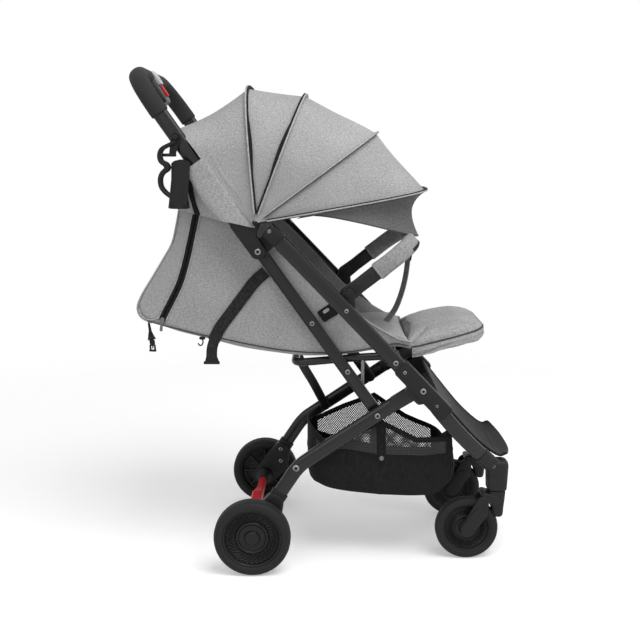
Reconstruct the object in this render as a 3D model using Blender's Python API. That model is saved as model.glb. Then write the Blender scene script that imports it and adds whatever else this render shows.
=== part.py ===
"""Compact travel stroller with a sliding, collapsing frame.

X runs forward, Y to the left, Z up, in metres, and the wheels stand on Z = 0.
Side-view sizes below are measured from the rear axle; X_CENTRE then moves the whole stroller so
that the middle of its length is at X = 0.
"""

import math

import bmesh
import bpy
from mathutils import Vector

# Driving dimensions of the whole stroller, in metres
X_CENTRE = 0.1438
GAP = 0.0003

# Main tube of each side: a straight oval tube that bends inwards above the caster
TUBE_ANGLE = math.radians(-46.25)
TUBE_START = (0.0391, 0.6873)
TUBE_Y = 0.205
TUBE_HALF_HEIGHT = 0.015
TUBE_HALF_WIDTH = 0.0085

# Lengthwise stations along the main tube, from its top joint
TUBE_TOP = -0.006
SOCKET_STATION = 0.2126
RAIL_STATION = 0.3525
LEG_STATION = 0.430

# Pivots of the folding linkage in the side plane
HANDLE_PIVOT = (0.0161, 0.6473)
LINK_PIVOT = (0.2494, 0.3198)
LINK_Y = 0.1645
LINK_HALF_WIDTH = 0.006
HANDLE_ANGLE = math.radians(124.9)
HANDLE_Y = 0.194

# Rear leg: a straight oval tube from the main tube's joint to the wheel bracket
LEG_Y = 0.180
LEG_ANGLE = math.radians(34.0)
LEG_BOLT = (0.0871, 0.2110)
LEG_HALF_HEIGHT = 0.0145
LEG_HALF_WIDTH = 0.008

# Wheels
REAR_AXLE = (0.0, 0.077)
REAR_RADIUS = 0.077
REAR_Y = 0.214
REAR_HALF_WIDTH = 0.018
FRONT_AXLE = (0.4397, 0.065)
FRONT_RADIUS = 0.065
FRONT_Y = 0.1255
FRONT_HALF_WIDTH = 0.0135
SWIVEL_X = 0.4975

BLACK = (0.028, 0.028, 0.03)
SOFT_BLACK = (0.02, 0.02, 0.021)
DARK_GREY = (0.07, 0.07, 0.075)
MELANGE = (0.30, 0.30, 0.305)
LIGHT_GREY = (0.55, 0.56, 0.57)
RED = (0.62, 0.01, 0.015)
ZINC = (0.62, 0.62, 0.64)

Y_AXIS = Vector((0.0, 1.0, 0.0))
SIDES = (("right", -1.0), ("left", 1.0))


def clear_scene():
    for item in list(bpy.data.objects):
        bpy.data.objects.remove(item, do_unlink=True)


def make_material(name, colour, roughness, metallic=0.0):
    made = bpy.data.materials.new(name)
    made.use_nodes = True
    shader = made.node_tree.nodes["Principled BSDF"]
    shader.inputs["Base Color"].default_value = (*colour, 1.0)
    shader.inputs["Roughness"].default_value = roughness
    shader.inputs["Metallic"].default_value = metallic
    made.diffuse_color = (*colour, 1.0)
    return made


def make_part(name, verts, faces, material, origin, holder=None, smooth=35.0):
    """One named object: its mesh is kept relative to its own origin, with its faces pointing out."""
    origin = Vector(origin)
    mesh = bpy.data.meshes.new(name)
    mesh.from_pydata([tuple(Vector(v) - origin) for v in verts], [], faces)
    shell = bmesh.new()
    shell.from_mesh(mesh)
    bmesh.ops.remove_doubles(shell, verts=shell.verts, dist=0.00001)
    bmesh.ops.recalc_face_normals(shell, faces=shell.faces)
    shell.to_mesh(mesh)
    shell.free()
    mesh.materials.append(material)
    mesh.shade_smooth()
    mesh.set_sharp_from_angle(angle=math.radians(smooth))
    part = bpy.data.objects.new(name, mesh)
    bpy.context.collection.objects.link(part)
    place = origin - Vector((X_CENTRE, 0.0, 0.0))
    if holder is not None:
        part.parent = holder
        place = place - holder.location
    part.location = place
    return part


def make_holder(name, origin):
    """An empty on a joint's axis, which carries the pieces that move together."""
    holder = bpy.data.objects.new(name, None)
    holder.empty_display_size = 0.03
    holder.location = Vector(origin) - Vector((X_CENTRE, 0.0, 0.0))
    bpy.context.collection.objects.link(holder)
    return holder


def add_boolean(part, tool, operation):
    """Joins a tool solid to a part or cuts it away, with the tool kept as a hidden guide."""
    tool.hide_render = True
    tool.display_type = "WIRE"
    step = part.modifiers.new(operation.title() + "_" + tool.name, "BOOLEAN")
    step.operation = operation
    step.object = tool
    step.solver = "EXACT"


def add_bevel(part, width, segments=2, angle=40.0):
    step = part.modifiers.new("Rounded_edges", "BEVEL")
    step.width = width
    step.segments = segments
    step.limit_method = "ANGLE"
    step.angle_limit = math.radians(angle)


def on_tube(station, across=0.0, y=0.0):
    """A point at a station along the main tube, and a distance across it towards the front."""
    x = TUBE_START[0] + station * math.cos(TUBE_ANGLE) - across * math.sin(TUBE_ANGLE)
    z = TUBE_START[1] + station * math.sin(TUBE_ANGLE) + across * math.cos(TUBE_ANGLE)
    return Vector((x, y, z))


def on_handle(station, across=0.0, y=0.0):
    """A point along the handle's legs from their lower pivot, and a distance in front of them."""
    x = HANDLE_PIVOT[0] + station * math.cos(HANDLE_ANGLE) + across * math.sin(HANDLE_ANGLE)
    z = HANDLE_PIVOT[1] + station * math.sin(HANDLE_ANGLE) - across * math.cos(HANDLE_ANGLE)
    return Vector((x, y, z))


def on_leg(station, across=0.0, y=0.0):
    """A point along the rear leg from its zinc bolt, up towards the main tube."""
    x = LEG_BOLT[0] + station * math.cos(LEG_ANGLE) - across * math.sin(LEG_ANGLE)
    z = LEG_BOLT[1] + station * math.sin(LEG_ANGLE) + across * math.cos(LEG_ANGLE)
    return Vector((x, y, z))


def smooth_path(points, steps):
    """A Catmull-Rom curve through the points, with a number of steps between each two."""
    points = [Vector(p) for p in points]
    padded = [2 * points[0] - points[1], *points, 2 * points[-1] - points[-2]]
    path = []
    for before, start, end, after in zip(padded, padded[1:], padded[2:], padded[3:]):
        for step in range(steps):
            t = step / steps
            path.append(
                0.5
                * (
                    2 * start
                    + (end - before) * t
                    + (2 * before - 5 * start + 4 * end - after) * t * t
                    + (3 * start - before - 3 * end + after) * t**3
                )
            )
    return [*path, points[-1]]


def ring_points(centre, across, depth, half_across, half_depth, sides, power=2.0):
    """A superellipse: power 2 is an oval, and larger powers are squarer."""
    ring = []
    for number in range(sides):
        angle = 2 * math.pi * (number + 0.5) / sides
        cosine = math.cos(angle)
        sine = math.sin(angle)
        u = math.copysign(abs(cosine) ** (2 / power), cosine) * half_across
        v = math.copysign(abs(sine) ** (2 / power), sine) * half_depth
        ring.append(centre + across * u + depth * v)
    return ring


def bridge(rings):
    """Closes a row of equal rings into one solid with two flat ends."""
    sides = len(rings[0])
    verts = [point for ring in rings for point in ring]
    faces = []
    for row in range(len(rings) - 1):
        for number in range(sides):
            following = (number + 1) % sides
            faces.append(
                (
                    row * sides + number,
                    row * sides + following,
                    (row + 1) * sides + following,
                    (row + 1) * sides + number,
                )
            )
    faces.append(tuple(range(sides))[::-1])
    faces.append(tuple(range((len(rings) - 1) * sides, len(rings) * sides)))
    return verts, faces


def sweep(path, half_across, half_depth, depth_axis, sides=12, power=2.0):
    """A bar of superellipse section along a path. half_depth is measured along depth_axis."""
    rings = []
    for number, point in enumerate(path):
        before = path[max(number - 1, 0)]
        after = path[min(number + 1, len(path) - 1)]
        along = (after - before).normalized()
        depth = (depth_axis - along * depth_axis.dot(along)).normalized()
        across = depth.cross(along)
        rings.append(ring_points(point, across, depth, half_across, half_depth, sides, power))
    return bridge(rings)


def hull_outline(circles, count=14):
    """The convex outline round circles (x, z, radius) in the side plane, as ordered points."""
    points = []
    for x, z, radius in circles:
        for number in range(count):
            angle = 2 * math.pi * number / count
            points.append((x + radius * math.cos(angle), z + radius * math.sin(angle)))
    points = sorted(set(points))

    def half(row):
        chain = []
        for p in row:
            while len(chain) > 1 and (
                (chain[-1][0] - chain[-2][0]) * (p[1] - chain[-2][1])
                - (chain[-1][1] - chain[-2][1]) * (p[0] - chain[-2][0])
                <= 1e-12
            ):
                chain.pop()
            chain.append(p)
        return chain[:-1]

    return half(points) + half(points[::-1])


def plate(outline, low_y, high_y):
    """An outline in the side plane, extruded from low_y to high_y."""
    low_y, high_y = min(low_y, high_y), max(low_y, high_y)
    count = len(outline)
    verts = [Vector((x, low_y, z)) for x, z in outline]
    verts += [Vector((x, high_y, z)) for x, z in outline]
    faces = [tuple(range(count)), tuple(range(count, 2 * count))[::-1]]
    for number in range(count):
        following = (number + 1) % count
        faces.append((number, following, count + following, count + number))
    return verts, faces


def turned(profile, centre, axis=Y_AXIS, steps=32, closed=False):
    """A profile of (radius, height along the axis) points, turned round the axis.

    An open profile starts and ends on the axis.
    """
    axis = Vector(axis)
    side = Vector((1.0, 0.0, 0.0)) if abs(axis.x) < 0.9 else Vector((0.0, 1.0, 0.0))
    front = axis.cross(side).normalized()
    verts = []
    rows = []
    for radius, height in profile:
        if radius < 1e-9:
            rows.append([len(verts)] * steps)
            verts.append(centre + axis * height)
            continue
        row = []
        for number in range(steps):
            angle = 2 * math.pi * number / steps
            row.append(len(verts))
            verts.append(
                centre
                + side * (radius * math.cos(angle))
                + front * (radius * math.sin(angle))
                + axis * height
            )
        rows.append(row)
    pairs = list(zip(rows, rows[1:]))
    if closed:
        pairs.append((rows[-1], rows[0]))
    faces = []
    for inner, outer in pairs:
        for number in range(steps):
            following = (number + 1) % steps
            corners = (inner[number], inner[following], outer[following], outer[number])
            corners = tuple(dict.fromkeys(corners))
            if len(corners) > 2:
                faces.append(corners)
    return verts, faces


def rod(start, end, radius, sides=12):
    """A plain round bar from one point to another, as verts and faces."""
    start = Vector(start)
    end = Vector(end)
    along = (end - start).normalized()
    helper = Vector((0.0, 0.0, 1.0)) if abs(along.z) < 0.9 else Vector((1.0, 0.0, 0.0))
    across = along.cross(helper).normalized()
    depth = along.cross(across)
    return bridge(
        [ring_points(point, across, depth, radius, radius, sides) for point in (start, end)]
    )


def guide(name, shape, material):
    return make_part(name, *shape, material, (0.0, 0.0, 0.0))


def shell_between(outer, inner):
    """Closes a grid of outer points and the matching grid of inner points into one thin solid."""
    rows = len(outer)
    columns = len(outer[0])
    verts = [p for row in outer for p in row] + [p for row in inner for p in row]
    base = rows * columns
    faces = []
    for row in range(rows - 1):
        for column in range(columns - 1):
            a = row * columns + column
            b = a + 1
            c = a + columns + 1
            d = a + columns
            faces.append((a, b, c, d))
            faces.append((base + d, base + c, base + b, base + a))
    border = [column for column in range(columns)]
    border += [row * columns + columns - 1 for row in range(1, rows)]
    border += [(rows - 1) * columns + column for column in range(columns - 2, -1, -1)]
    border += [row * columns for row in range(rows - 2, 0, -1)]
    for number, a in enumerate(border):
        b = border[(number + 1) % len(border)]
        faces.append((b, a, base + a, base + b))
    return verts, faces


# Fixed front frame: main tubes, leg joints, caster housings and footrest

FOOT_BEND = (
    (0.345, 0.2050, 0.3678),
    (0.376, 0.1980, 0.3270),
    (0.406, 0.1840, 0.2900),
    (0.438, 0.1660, 0.2545),
    (0.464, 0.1500, 0.2275),
)
LEG_JOINT = on_tube(LEG_STATION)


def build_front_tube(side_name, side, material, holder):
    bend = smooth_path([(x, side * y, z) for x, y, z in FOOT_BEND], 3)
    path = [on_tube(TUBE_TOP, y=side * TUBE_Y), on_tube(0.2, y=side * TUBE_Y), *bend]
    shape = sweep(path, TUBE_HALF_HEIGHT, TUBE_HALF_WIDTH, Y_AXIS, power=2.4)
    make_part("front_tube_" + side_name, *shape, material, path[0], holder)


def build_leg_joint(side_name, side, material, holder):
    """Moulded sleeve fixed round the main tube, with the lobe that the rear leg turns behind."""
    outline = [
        on_tube(station, across)
        for station, across in (
            (0.3640, -0.0168), (0.4040, -0.0168), (0.4080, -0.0270), (0.4430, -0.0270),
            (0.4490, -0.0240), (0.4520, -0.0172), (0.4960, -0.0172), (0.5000, -0.0130),
            (0.5000, 0.0130), (0.4960, 0.0172), (0.3700, 0.0172), (0.3640, 0.0130),
        )
    ]
    outline = [(point.x, point.z) for point in outline]
    inner_y = side * (LEG_Y + LEG_HALF_WIDTH + GAP)
    outer_y = side * (TUBE_Y + TUBE_HALF_WIDTH + 0.0030)
    block = make_part(
        "leg_joint_" + side_name, *plate(outline, inner_y, outer_y), material,
        LEG_JOINT + Y_AXIS * side * TUBE_Y, holder,
    )
    bend = smooth_path([(x, side * y, z) for x, y, z in FOOT_BEND], 3)
    bore_path = [on_tube(0.30, y=side * TUBE_Y), on_tube(0.36, y=side * TUBE_Y), *bend]
    bore = sweep(
        bore_path, TUBE_HALF_HEIGHT + GAP, TUBE_HALF_WIDTH + GAP, Y_AXIS, power=2.4
    )
    add_boolean(block, guide("leg_joint_bore_" + side_name, bore, material), "DIFFERENCE")
    pin = rod(
        LEG_JOINT + Y_AXIS * side * (LEG_Y + LEG_HALF_WIDTH + 0.002),
        LEG_JOINT + Y_AXIS * side * (LEG_Y - LEG_HALF_WIDTH - 0.003),
        0.005,
    )
    add_boolean(block, guide("leg_joint_pin_" + side_name, pin, material), "UNION")


def build_caster_housing(side_name, side, material, holder):
    """Tapered block at the foot of the main tube, which holds the caster's upright spindle."""
    rings = []
    for z, low_x, high_x, half_y in (
        (0.1480, 0.4820, 0.5190, 0.0180),
        (0.1500, 0.4790, 0.5205, 0.0195),
        (0.2000, 0.4765, 0.5230, 0.0210),
        (0.2080, 0.4790, 0.5215, 0.0200),
        (0.2115, 0.4850, 0.5170, 0.0170),
    ):
        centre = Vector(((low_x + high_x) / 2, side * FRONT_Y, z))
        rings.append(
            ring_points(
                centre, Vector((1.0, 0.0, 0.0)), Y_AXIS, (high_x - low_x) / 2, half_y, 12, 4.0
            )
        )
    housing = make_part(
        "caster_housing_" + side_name, *bridge(rings), material,
        (SWIVEL_X, side * FRONT_Y, 0.148), holder,
    )
    neck_end = smooth_path([(x, side * y, z) for x, y, z in FOOT_BEND], 3)
    tip = neck_end[-1]
    along = (neck_end[-1] - neck_end[-2]).normalized()
    neck_path = [tip + along * GAP, tip + along * 0.012, Vector((0.492, side * 0.1330, 0.198))]
    neck = sweep(neck_path, 0.0165, 0.0105, Y_AXIS, power=2.6)
    add_boolean(housing, guide("caster_neck_" + side_name, neck, material), "UNION")
    bore = rod((SWIVEL_X, side * FRONT_Y, 0.140), (SWIVEL_X, side * FRONT_Y, 0.190), 0.0063)
    add_boolean(housing, guide("caster_bore_" + side_name, bore, material), "DIFFERENCE")


def footrest_edge(t):
    """The footrest's side edge, from its top (t = 0) to the start of the lip (t = 1)."""
    points = smooth_path(
        [(0.372, 0.1860, 0.3560), (0.412, 0.1640, 0.3060), (0.452, 0.1400, 0.2600),
         (0.487, 0.1250, 0.2290), (0.506, 0.1220, 0.2185), (0.519, 0.1220, 0.2225)], 4
    )
    place = t * (len(points) - 1)
    low = min(int(place), len(points) - 2)
    return points[low].lerp(points[low + 1], place - low)


def build_footrest(material, holder):
    """Scooped moulded plate between the main tubes, with a rolled lip along its front."""
    thickness = 0.004
    rows = 10
    columns = 7
    top = []
    under = []
    for row in range(rows):
        t = row / (rows - 1)
        edge = footrest_edge(t)
        ahead = footrest_edge(min(t + 0.03, 1.0)) - footrest_edge(max(t - 0.03, 0.0))
        slope = math.atan2(ahead.z, ahead.x)
        normal = Vector((-math.sin(slope), 0.0, math.cos(slope)))
        top_row = []
        under_row = []
        for column in range(columns):
            across = 2 * column / (columns - 1) - 1
            dip = 0.016 * (1 - across**2) * math.sin(math.pi * min(t * 1.05, 1.0))
            point = Vector((edge.x, edge.y * across, edge.z)) - normal * dip
            top_row.append(point)
            under_row.append(point - normal * thickness)
        top.append(top_row)
        under.append(under_row)
    footrest = make_part(
        "footrest", *shell_between(top, under), material, (0.45, 0.0, 0.26), holder
    )
    front = footrest_edge(1.0)
    lip_path = [
        Vector((front.x, front.y * across, front.z))
        for across in (-1.0, 1.0)
    ]
    lip = sweep(lip_path, 0.0075, 0.0065, Vector((0.0, 0.0, 1.0)), sides=8)
    add_boolean(footrest, guide("footrest_lip", lip, material), "UNION")


def build_seat_crossbar(material, holder):
    """Crossbar between the main tubes, under the front of the seat."""
    where = on_tube(RAIL_STATION)
    end = TUBE_Y - TUBE_HALF_WIDTH - GAP
    bar = rod(where - Y_AXIS * end, where + Y_AXIS * end, 0.008)
    make_part("seat_crossbar", *bar, material, where, holder)


# Sliders: sleeves that run down the main tubes when the stroller collapses

def build_slider(side_name, side, material, holder):
    inner_y = LINK_Y + LINK_HALF_WIDTH + 0.002
    arm_outer = HANDLE_Y - 0.0090 - 0.0015
    corners = [
        on_tube(station, across)
        for station, across in (
            (-0.0045, -0.0140), (-0.0060, 0.0030), (0.0030, 0.0145), (0.0280, 0.0145),
            (0.0280, -0.0145), (0.0, -0.0145),
        )
    ]
    outline = hull_outline([(c.x, c.z, 0.0035) for c in corners], 12)
    body = plate(outline, side * inner_y, side * (TUBE_Y + TUBE_HALF_WIDTH + 0.0035))
    slider = make_part(
        "slider_" + side_name, *body, material, on_tube(0.01, y=side * TUBE_Y), holder
    )
    arm_outline = hull_outline(
        [(HANDLE_PIVOT[0], HANDLE_PIVOT[1], 0.015)]
        + [(c.x, c.z, 0.004) for c in (on_tube(0.0, -0.008), on_tube(0.024, -0.008))],
        16,
    )
    arm = plate(arm_outline, side * inner_y, side * arm_outer)
    add_boolean(slider, guide("slider_arm_" + side_name, arm, material), "UNION")
    bore = sweep(
        [on_tube(-0.05, y=side * TUBE_Y), on_tube(0.06, y=side * TUBE_Y)],
        TUBE_HALF_HEIGHT + GAP, TUBE_HALF_WIDTH + GAP, Y_AXIS, power=2.4,
    )
    add_boolean(slider, guide("slider_bore_" + side_name, bore, material), "DIFFERENCE")
    pivot = Vector((HANDLE_PIVOT[0], 0.0, HANDLE_PIVOT[1]))
    pin = rod(
        pivot + Y_AXIS * side * (LINK_Y + LINK_HALF_WIDTH + 0.0005),
        pivot + Y_AXIS * side * (HANDLE_Y + 0.002),
        0.005,
    )
    add_boolean(slider, guide("slider_pin_" + side_name, pin, material), "UNION")


# Canopy hub: one post on each side carries the flat eyes of all four bows

HUB = (0.0125, 0.7030)
BOW_Y = 0.2085
EYE_Y = 0.2048
EYE_STEP = 0.0024


# Handle: one bent tube with two foam grips and the release housing between them

HANDLE_TOP = 0.409
STUD_STATION = 0.2635
CORNER_RADIUS = 0.084
FOAM_START = 0.316
HOUSING_HALF = 0.046


def handle_loop(start, end_y, steps=5):
    """The right half of the handle's centre line, from a station on its leg to the middle."""
    corner = HANDLE_TOP - CORNER_RADIUS
    path = [on_handle(start, y=-HANDLE_Y)]
    if start < corner - 0.002:
        path.append(on_handle(corner, y=-HANDLE_Y))
    for number in range(1, steps + 1):
        angle = math.pi / 2 * number / steps
        path.append(
            on_handle(
                corner + CORNER_RADIUS * math.sin(angle),
                y=-HANDLE_Y + CORNER_RADIUS * (1 - math.cos(angle)),
            )
        )
    path.append(on_handle(HANDLE_TOP, y=-end_y))
    return path


def mirrored(path):
    return [Vector((p.x, -p.y, p.z)) for p in path]


HANDLE_NORMAL = Vector((math.sin(HANDLE_ANGLE), 0.0, -math.cos(HANDLE_ANGLE)))


def build_handle_tube(material, holder):
    half = handle_loop(0.060, 0.0)
    path = half + mirrored(half[:-1])[::-1]
    shape = sweep(path, 0.009, 0.0150, HANDLE_NORMAL, sides=12, power=2.3)
    tube = make_part("handle_tube", *shape, material, (HANDLE_PIVOT[0], 0.0, HANDLE_PIVOT[1]), holder)
    stud_end = HANDLE_Y + 0.016
    stud = rod(
        on_handle(STUD_STATION, y=-HANDLE_Y), on_handle(STUD_STATION, y=-stud_end), 0.005
    )
    add_boolean(tube, guide("cup_holder_stud", stud, material), "UNION")


def build_handle_end(side_name, side, material, holder):
    """Moulded end of the handle's leg, with the eye that turns on the slider's pin."""
    low = side * (HANDLE_Y - 0.009)
    high = side * (HANDLE_Y + 0.009)
    top = on_handle(0.0595 - 0.014)
    outline = hull_outline(
        [(HANDLE_PIVOT[0], HANDLE_PIVOT[1], 0.0155), (top.x, top.z, 0.0138)]
    )
    pivot = Vector((HANDLE_PIVOT[0], side * HANDLE_Y, HANDLE_PIVOT[1]))
    end = make_part("handle_end_" + side_name, *plate(outline, low, high), material, pivot, holder)
    eye = rod(pivot - Y_AXIS * 0.02, pivot + Y_AXIS * 0.02, 0.0053)
    add_boolean(end, guide("handle_eye_" + side_name, eye, material), "DIFFERENCE")
    lobe_base = on_handle(0.030)
    lobe = plate(
        hull_outline([(*HUB, 0.0085), (lobe_base.x, lobe_base.z, 0.0120)], 16),
        low + side * 0.004, high,
    )
    add_boolean(end, guide("hub_lobe_" + side_name, lobe, material), "UNION")
    hub = Vector((HUB[0], 0.0, HUB[1]))
    post = rod(
        hub + Y_AXIS * side * (HANDLE_Y + 0.004), hub + Y_AXIS * side * (EYE_Y + 3.5 * EYE_STEP),
        0.0030, 8,
    )
    add_boolean(end, guide("hub_post_" + side_name, post, material), "UNION")


def build_grip(side_name, side, material, holder):
    path = handle_loop(FOAM_START, HOUSING_HALF + GAP)
    if side > 0:
        path = mirrored(path)
    grip = make_part(
        "grip_" + side_name,
        *sweep(path, 0.0155, 0.0180, HANDLE_NORMAL, sides=12),
        material, path[0], holder,
    )
    core = handle_loop(FOAM_START - 0.02, HOUSING_HALF - 0.01)
    if side > 0:
        core = mirrored(core)
    core = sweep(core, 0.0093, 0.0153, HANDLE_NORMAL, sides=12, power=2.3)
    add_boolean(grip, guide("grip_core_" + side_name, core, material), "DIFFERENCE")


BUTTON_STATION = (0.387, 0.419)
SLIDER_STATION = (0.363, 0.383)


def build_release_housing(material, holder):
    """Clamshell at the middle of the handle that holds the fold release."""
    rings = []
    for station, half_y, half_n in (
        (0.350, 0.030, 0.0120),
        (0.356, 0.036, 0.0155),
        (0.384, 0.042, 0.0185),
        (0.408, 0.0455, 0.0195),
        (0.420, 0.0440, 0.0175),
        (0.425, 0.038, 0.0120),
    ):
        rings.append(
            ring_points(on_handle(station), Y_AXIS, HANDLE_NORMAL, half_y, half_n, 16, 4.0)
        )
    housing = make_part(
        "release_housing", *bridge(rings), material, on_handle(HANDLE_TOP), holder
    )
    tube = sweep(
        [on_handle(HANDLE_TOP, y=y) for y in (-0.08, 0.08)],
        0.0093, 0.0153, HANDLE_NORMAL, sides=12, power=2.3,
    )
    add_boolean(housing, guide("housing_bore", tube, material), "DIFFERENCE")
    for name, (low, high), half_y, floor in (
        ("button_pocket", BUTTON_STATION, 0.0165, 0.0155),
        ("slider_pocket", SLIDER_STATION, 0.0105, 0.0105),
    ):
        pocket = pocket_box(low, high, half_y, floor, 0.035)
        add_boolean(housing, guide(name, pocket, material), "DIFFERENCE")


def pocket_box(low, high, half_y, floor, top):
    """A box in the handle's frame between two stations, from a floor up to a height in front."""
    rings = []
    for across in (floor, top):
        rings.append(
            [on_handle(s, across, y) for s, y in
             ((low, -half_y), (high, -half_y), (high, half_y), (low, half_y))]
        )
    return bridge(rings)


def build_release_button(material, holder):
    rings = []
    low, high = BUTTON_STATION
    for across, inset in ((0.0178, 0.0012), (0.0235, 0.0012), (0.0255, 0.0035)):
        half_y = 0.0165 - inset
        rings.append(
            [on_handle(s, across, y) for s, y in
             ((low + inset, -half_y), (high - inset, -half_y),
              (high - inset, half_y), (low + inset, half_y))]
        )
    make_part("release_button", *bridge(rings), material, on_handle(0.403, 0.0178), holder)


def build_lock_slider(material, holder):
    rings = []
    low = SLIDER_STATION[0] + 0.0005
    high = SLIDER_STATION[1] - 0.0005
    for across, inset in ((0.0110, 0.0), (0.0180, 0.0), (0.0205, 0.0025)):
        rings.append(
            [on_handle(s, across, y) for s, y in
             ((low + inset, -0.0060 + inset), (high - inset, -0.0060 + inset),
              (high - inset, 0.0020 - inset), (low + inset, 0.0020 - inset))]
        )
    make_part("lock_slider", *bridge(rings), material, on_handle(0.373, 0.011), holder)


# Rear frame: legs, wheel brackets, axle and brake

LEG_BEND = (
    (0.1400, 0.2467), (0.1140, 0.2291), (0.0990, 0.2180), (0.0860, 0.2040), (0.0740, 0.1870),
    (0.0360, 0.1290),
)


def build_rear_leg(side_name, side, material, holder):
    leg_length = (LEG_JOINT.x - LEG_BOLT[0]) / math.cos(LEG_ANGLE)
    bend = [Vector((x, side * LEG_Y, z)) for x, z in LEG_BEND]
    path = [on_leg(leg_length - 0.030, y=side * LEG_Y), *bend]
    leg = make_part(
        "rear_leg_" + side_name,
        *sweep(path, LEG_HALF_HEIGHT, LEG_HALF_WIDTH, Y_AXIS, power=2.4),
        material, LEG_JOINT + Y_AXIS * side * LEG_Y, holder,
    )
    near = on_leg(leg_length - 0.06)
    knuckle = plate(
        hull_outline([(LEG_JOINT.x, LEG_JOINT.z, 0.0150), (near.x, near.z, 0.0140)]),
        side * (LEG_Y - LEG_HALF_WIDTH), side * (LEG_Y + LEG_HALF_WIDTH),
    )
    add_boolean(leg, guide("leg_knuckle_" + side_name, knuckle, material), "UNION")
    joint = LEG_JOINT + Y_AXIS * side * LEG_Y
    eye = rod(joint - Y_AXIS * 0.02, joint + Y_AXIS * 0.02, 0.0053)
    add_boolean(leg, guide("leg_eye_" + side_name, eye, material), "DIFFERENCE")
    pivot = Vector((LINK_PIVOT[0], side * LEG_Y, LINK_PIVOT[1]))
    pin = rod(
        pivot + Y_AXIS * side * (LEG_HALF_WIDTH + 0.002),
        Vector((pivot.x, side * (LINK_Y - LINK_HALF_WIDTH - 0.002), pivot.z)),
        0.005,
    )
    add_boolean(leg, guide("link_pin_" + side_name, pin, material), "UNION")


def build_wheel_bracket(side_name, side, material, holder):
    """Moulded foot of the rear leg: a socket round the tube's end, and the axle boss below it."""
    outline = hull_outline(
        [(*REAR_AXLE, 0.0240), (0.0400, 0.0980, 0.0160), (0.0430, 0.1390, 0.0190),
         (0.0200, 0.1180, 0.0160)]
    )
    bracket = make_part(
        "wheel_bracket_" + side_name,
        *plate(outline, side * (LEG_Y - 0.0120), side * (LEG_Y + 0.0115)),
        material, (REAR_AXLE[0], side * LEG_Y, REAR_AXLE[1]), holder,
    )
    axle = Vector((REAR_AXLE[0], 0.0, REAR_AXLE[1]))
    collar = turned(
        [(0.0, 0.0), (0.0205, 0.0), (0.0120, 0.0260), (0.0105, 0.0330), (0.0, 0.0330)],
        axle + Y_AXIS * side * (LEG_Y - 0.0110), Y_AXIS * -side, 16,
    )
    add_boolean(bracket, guide("axle_collar_" + side_name, collar, material), "UNION")
    bend = [Vector((x, side * LEG_Y, z)) for x, z in LEG_BEND]
    along = (bend[-1] - bend[-2]).normalized()
    bore = sweep(
        [*bend[-5:-1], bend[-1] + along * GAP],
        LEG_HALF_HEIGHT + GAP, LEG_HALF_WIDTH + GAP, Y_AXIS, power=2.4,
    )
    add_boolean(bracket, guide("bracket_bore_" + side_name, bore, material), "DIFFERENCE")
    hole = rod(
        axle + Y_AXIS * side * (LEG_Y - 0.06), axle + Y_AXIS * side * (LEG_Y + 0.03), 0.0048
    )
    add_boolean(bracket, guide("bracket_hole_" + side_name, hole, material), "DIFFERENCE")


def build_rear_axle(material, holder):
    """Steel rod through the brake bar, both brackets and both wheels."""
    end = REAR_Y + 0.0080
    centre = Vector((REAR_AXLE[0], 0.0, REAR_AXLE[1]))
    rod_shape = rod(centre - Y_AXIS * end, centre + Y_AXIS * end, 0.0045)
    make_part("rear_axle", *rod_shape, material, centre, holder)


def build_brake_pedal(material, holder):
    """Red bar that turns on the axle: a flat tread in the middle that narrows to both ends."""
    centre = Vector((REAR_AXLE[0], 0.0, REAR_AXLE[1]))
    rings = []
    for y, half_x, half_z in (
        (-0.1350, 0.0068, 0.0068), (-0.1000, 0.0085, 0.0080), (-0.0600, 0.0115, 0.0095),
        (-0.0350, 0.0200, 0.0090), (0.0350, 0.0200, 0.0090), (0.0600, 0.0115, 0.0095),
        (0.1000, 0.0085, 0.0080), (0.1350, 0.0068, 0.0068),
    ):
        where = centre + Vector((0.0068 - half_x, y, 0.0))
        rings.append(
            ring_points(where, Vector((1.0, 0.0, 0.0)), Vector((0.0, 0.0, 1.0)),
                        half_x, half_z, 16, 2.6)
        )
    pedal = make_part("brake_pedal", *bridge(rings), material, centre, holder)
    bore = rod(centre - Y_AXIS * 0.2, centre + Y_AXIS * 0.2, 0.0048)
    add_boolean(pedal, guide("pedal_bore", bore, material), "DIFFERENCE")


# Wheels

def build_tyre(name, axle, radius, inner, half_width, steps, material, holder):
    crown = radius - inner
    half = [
        (inner, half_width * 0.80), (inner + crown * 0.50, half_width),
        (inner + crown * 0.90, half_width * 0.80), (radius, half_width * 0.35),
    ]
    profile = half + [(distance, -height) for distance, height in half[::-1]]
    make_part(name, *turned(profile, axle, steps=steps, closed=True), material, axle, holder)


def build_rear_hub(side_name, side, material, holder):
    """Moulded wheel centre: a dished outer face with a raised ring, and a boss round the axle."""
    axle = Vector((REAR_AXLE[0], side * REAR_Y, REAR_AXLE[1]))
    rim = 0.0590 - GAP
    profile = [
        (0.0, 0.0125), (0.0130, 0.0125), (0.0160, 0.0065), (0.0270, 0.0060),
        (0.0305, 0.0092), (0.0345, 0.0045), (0.0540, 0.0095), (rim, 0.0135),
        (rim, -0.0130), (0.0540, -0.0040), (0.0105, -0.0100), (0.0, -0.0100),
    ]
    hub = make_part(
        "rear_hub_" + side_name,
        *turned(profile, axle, Y_AXIS * side, 28), material, axle, holder,
    )
    bore = rod(axle - Y_AXIS * side * 0.02, axle + Y_AXIS * side * 0.0085, 0.0053)
    add_boolean(hub, guide("hub_bore_" + side_name, bore, material), "DIFFERENCE")


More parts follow.
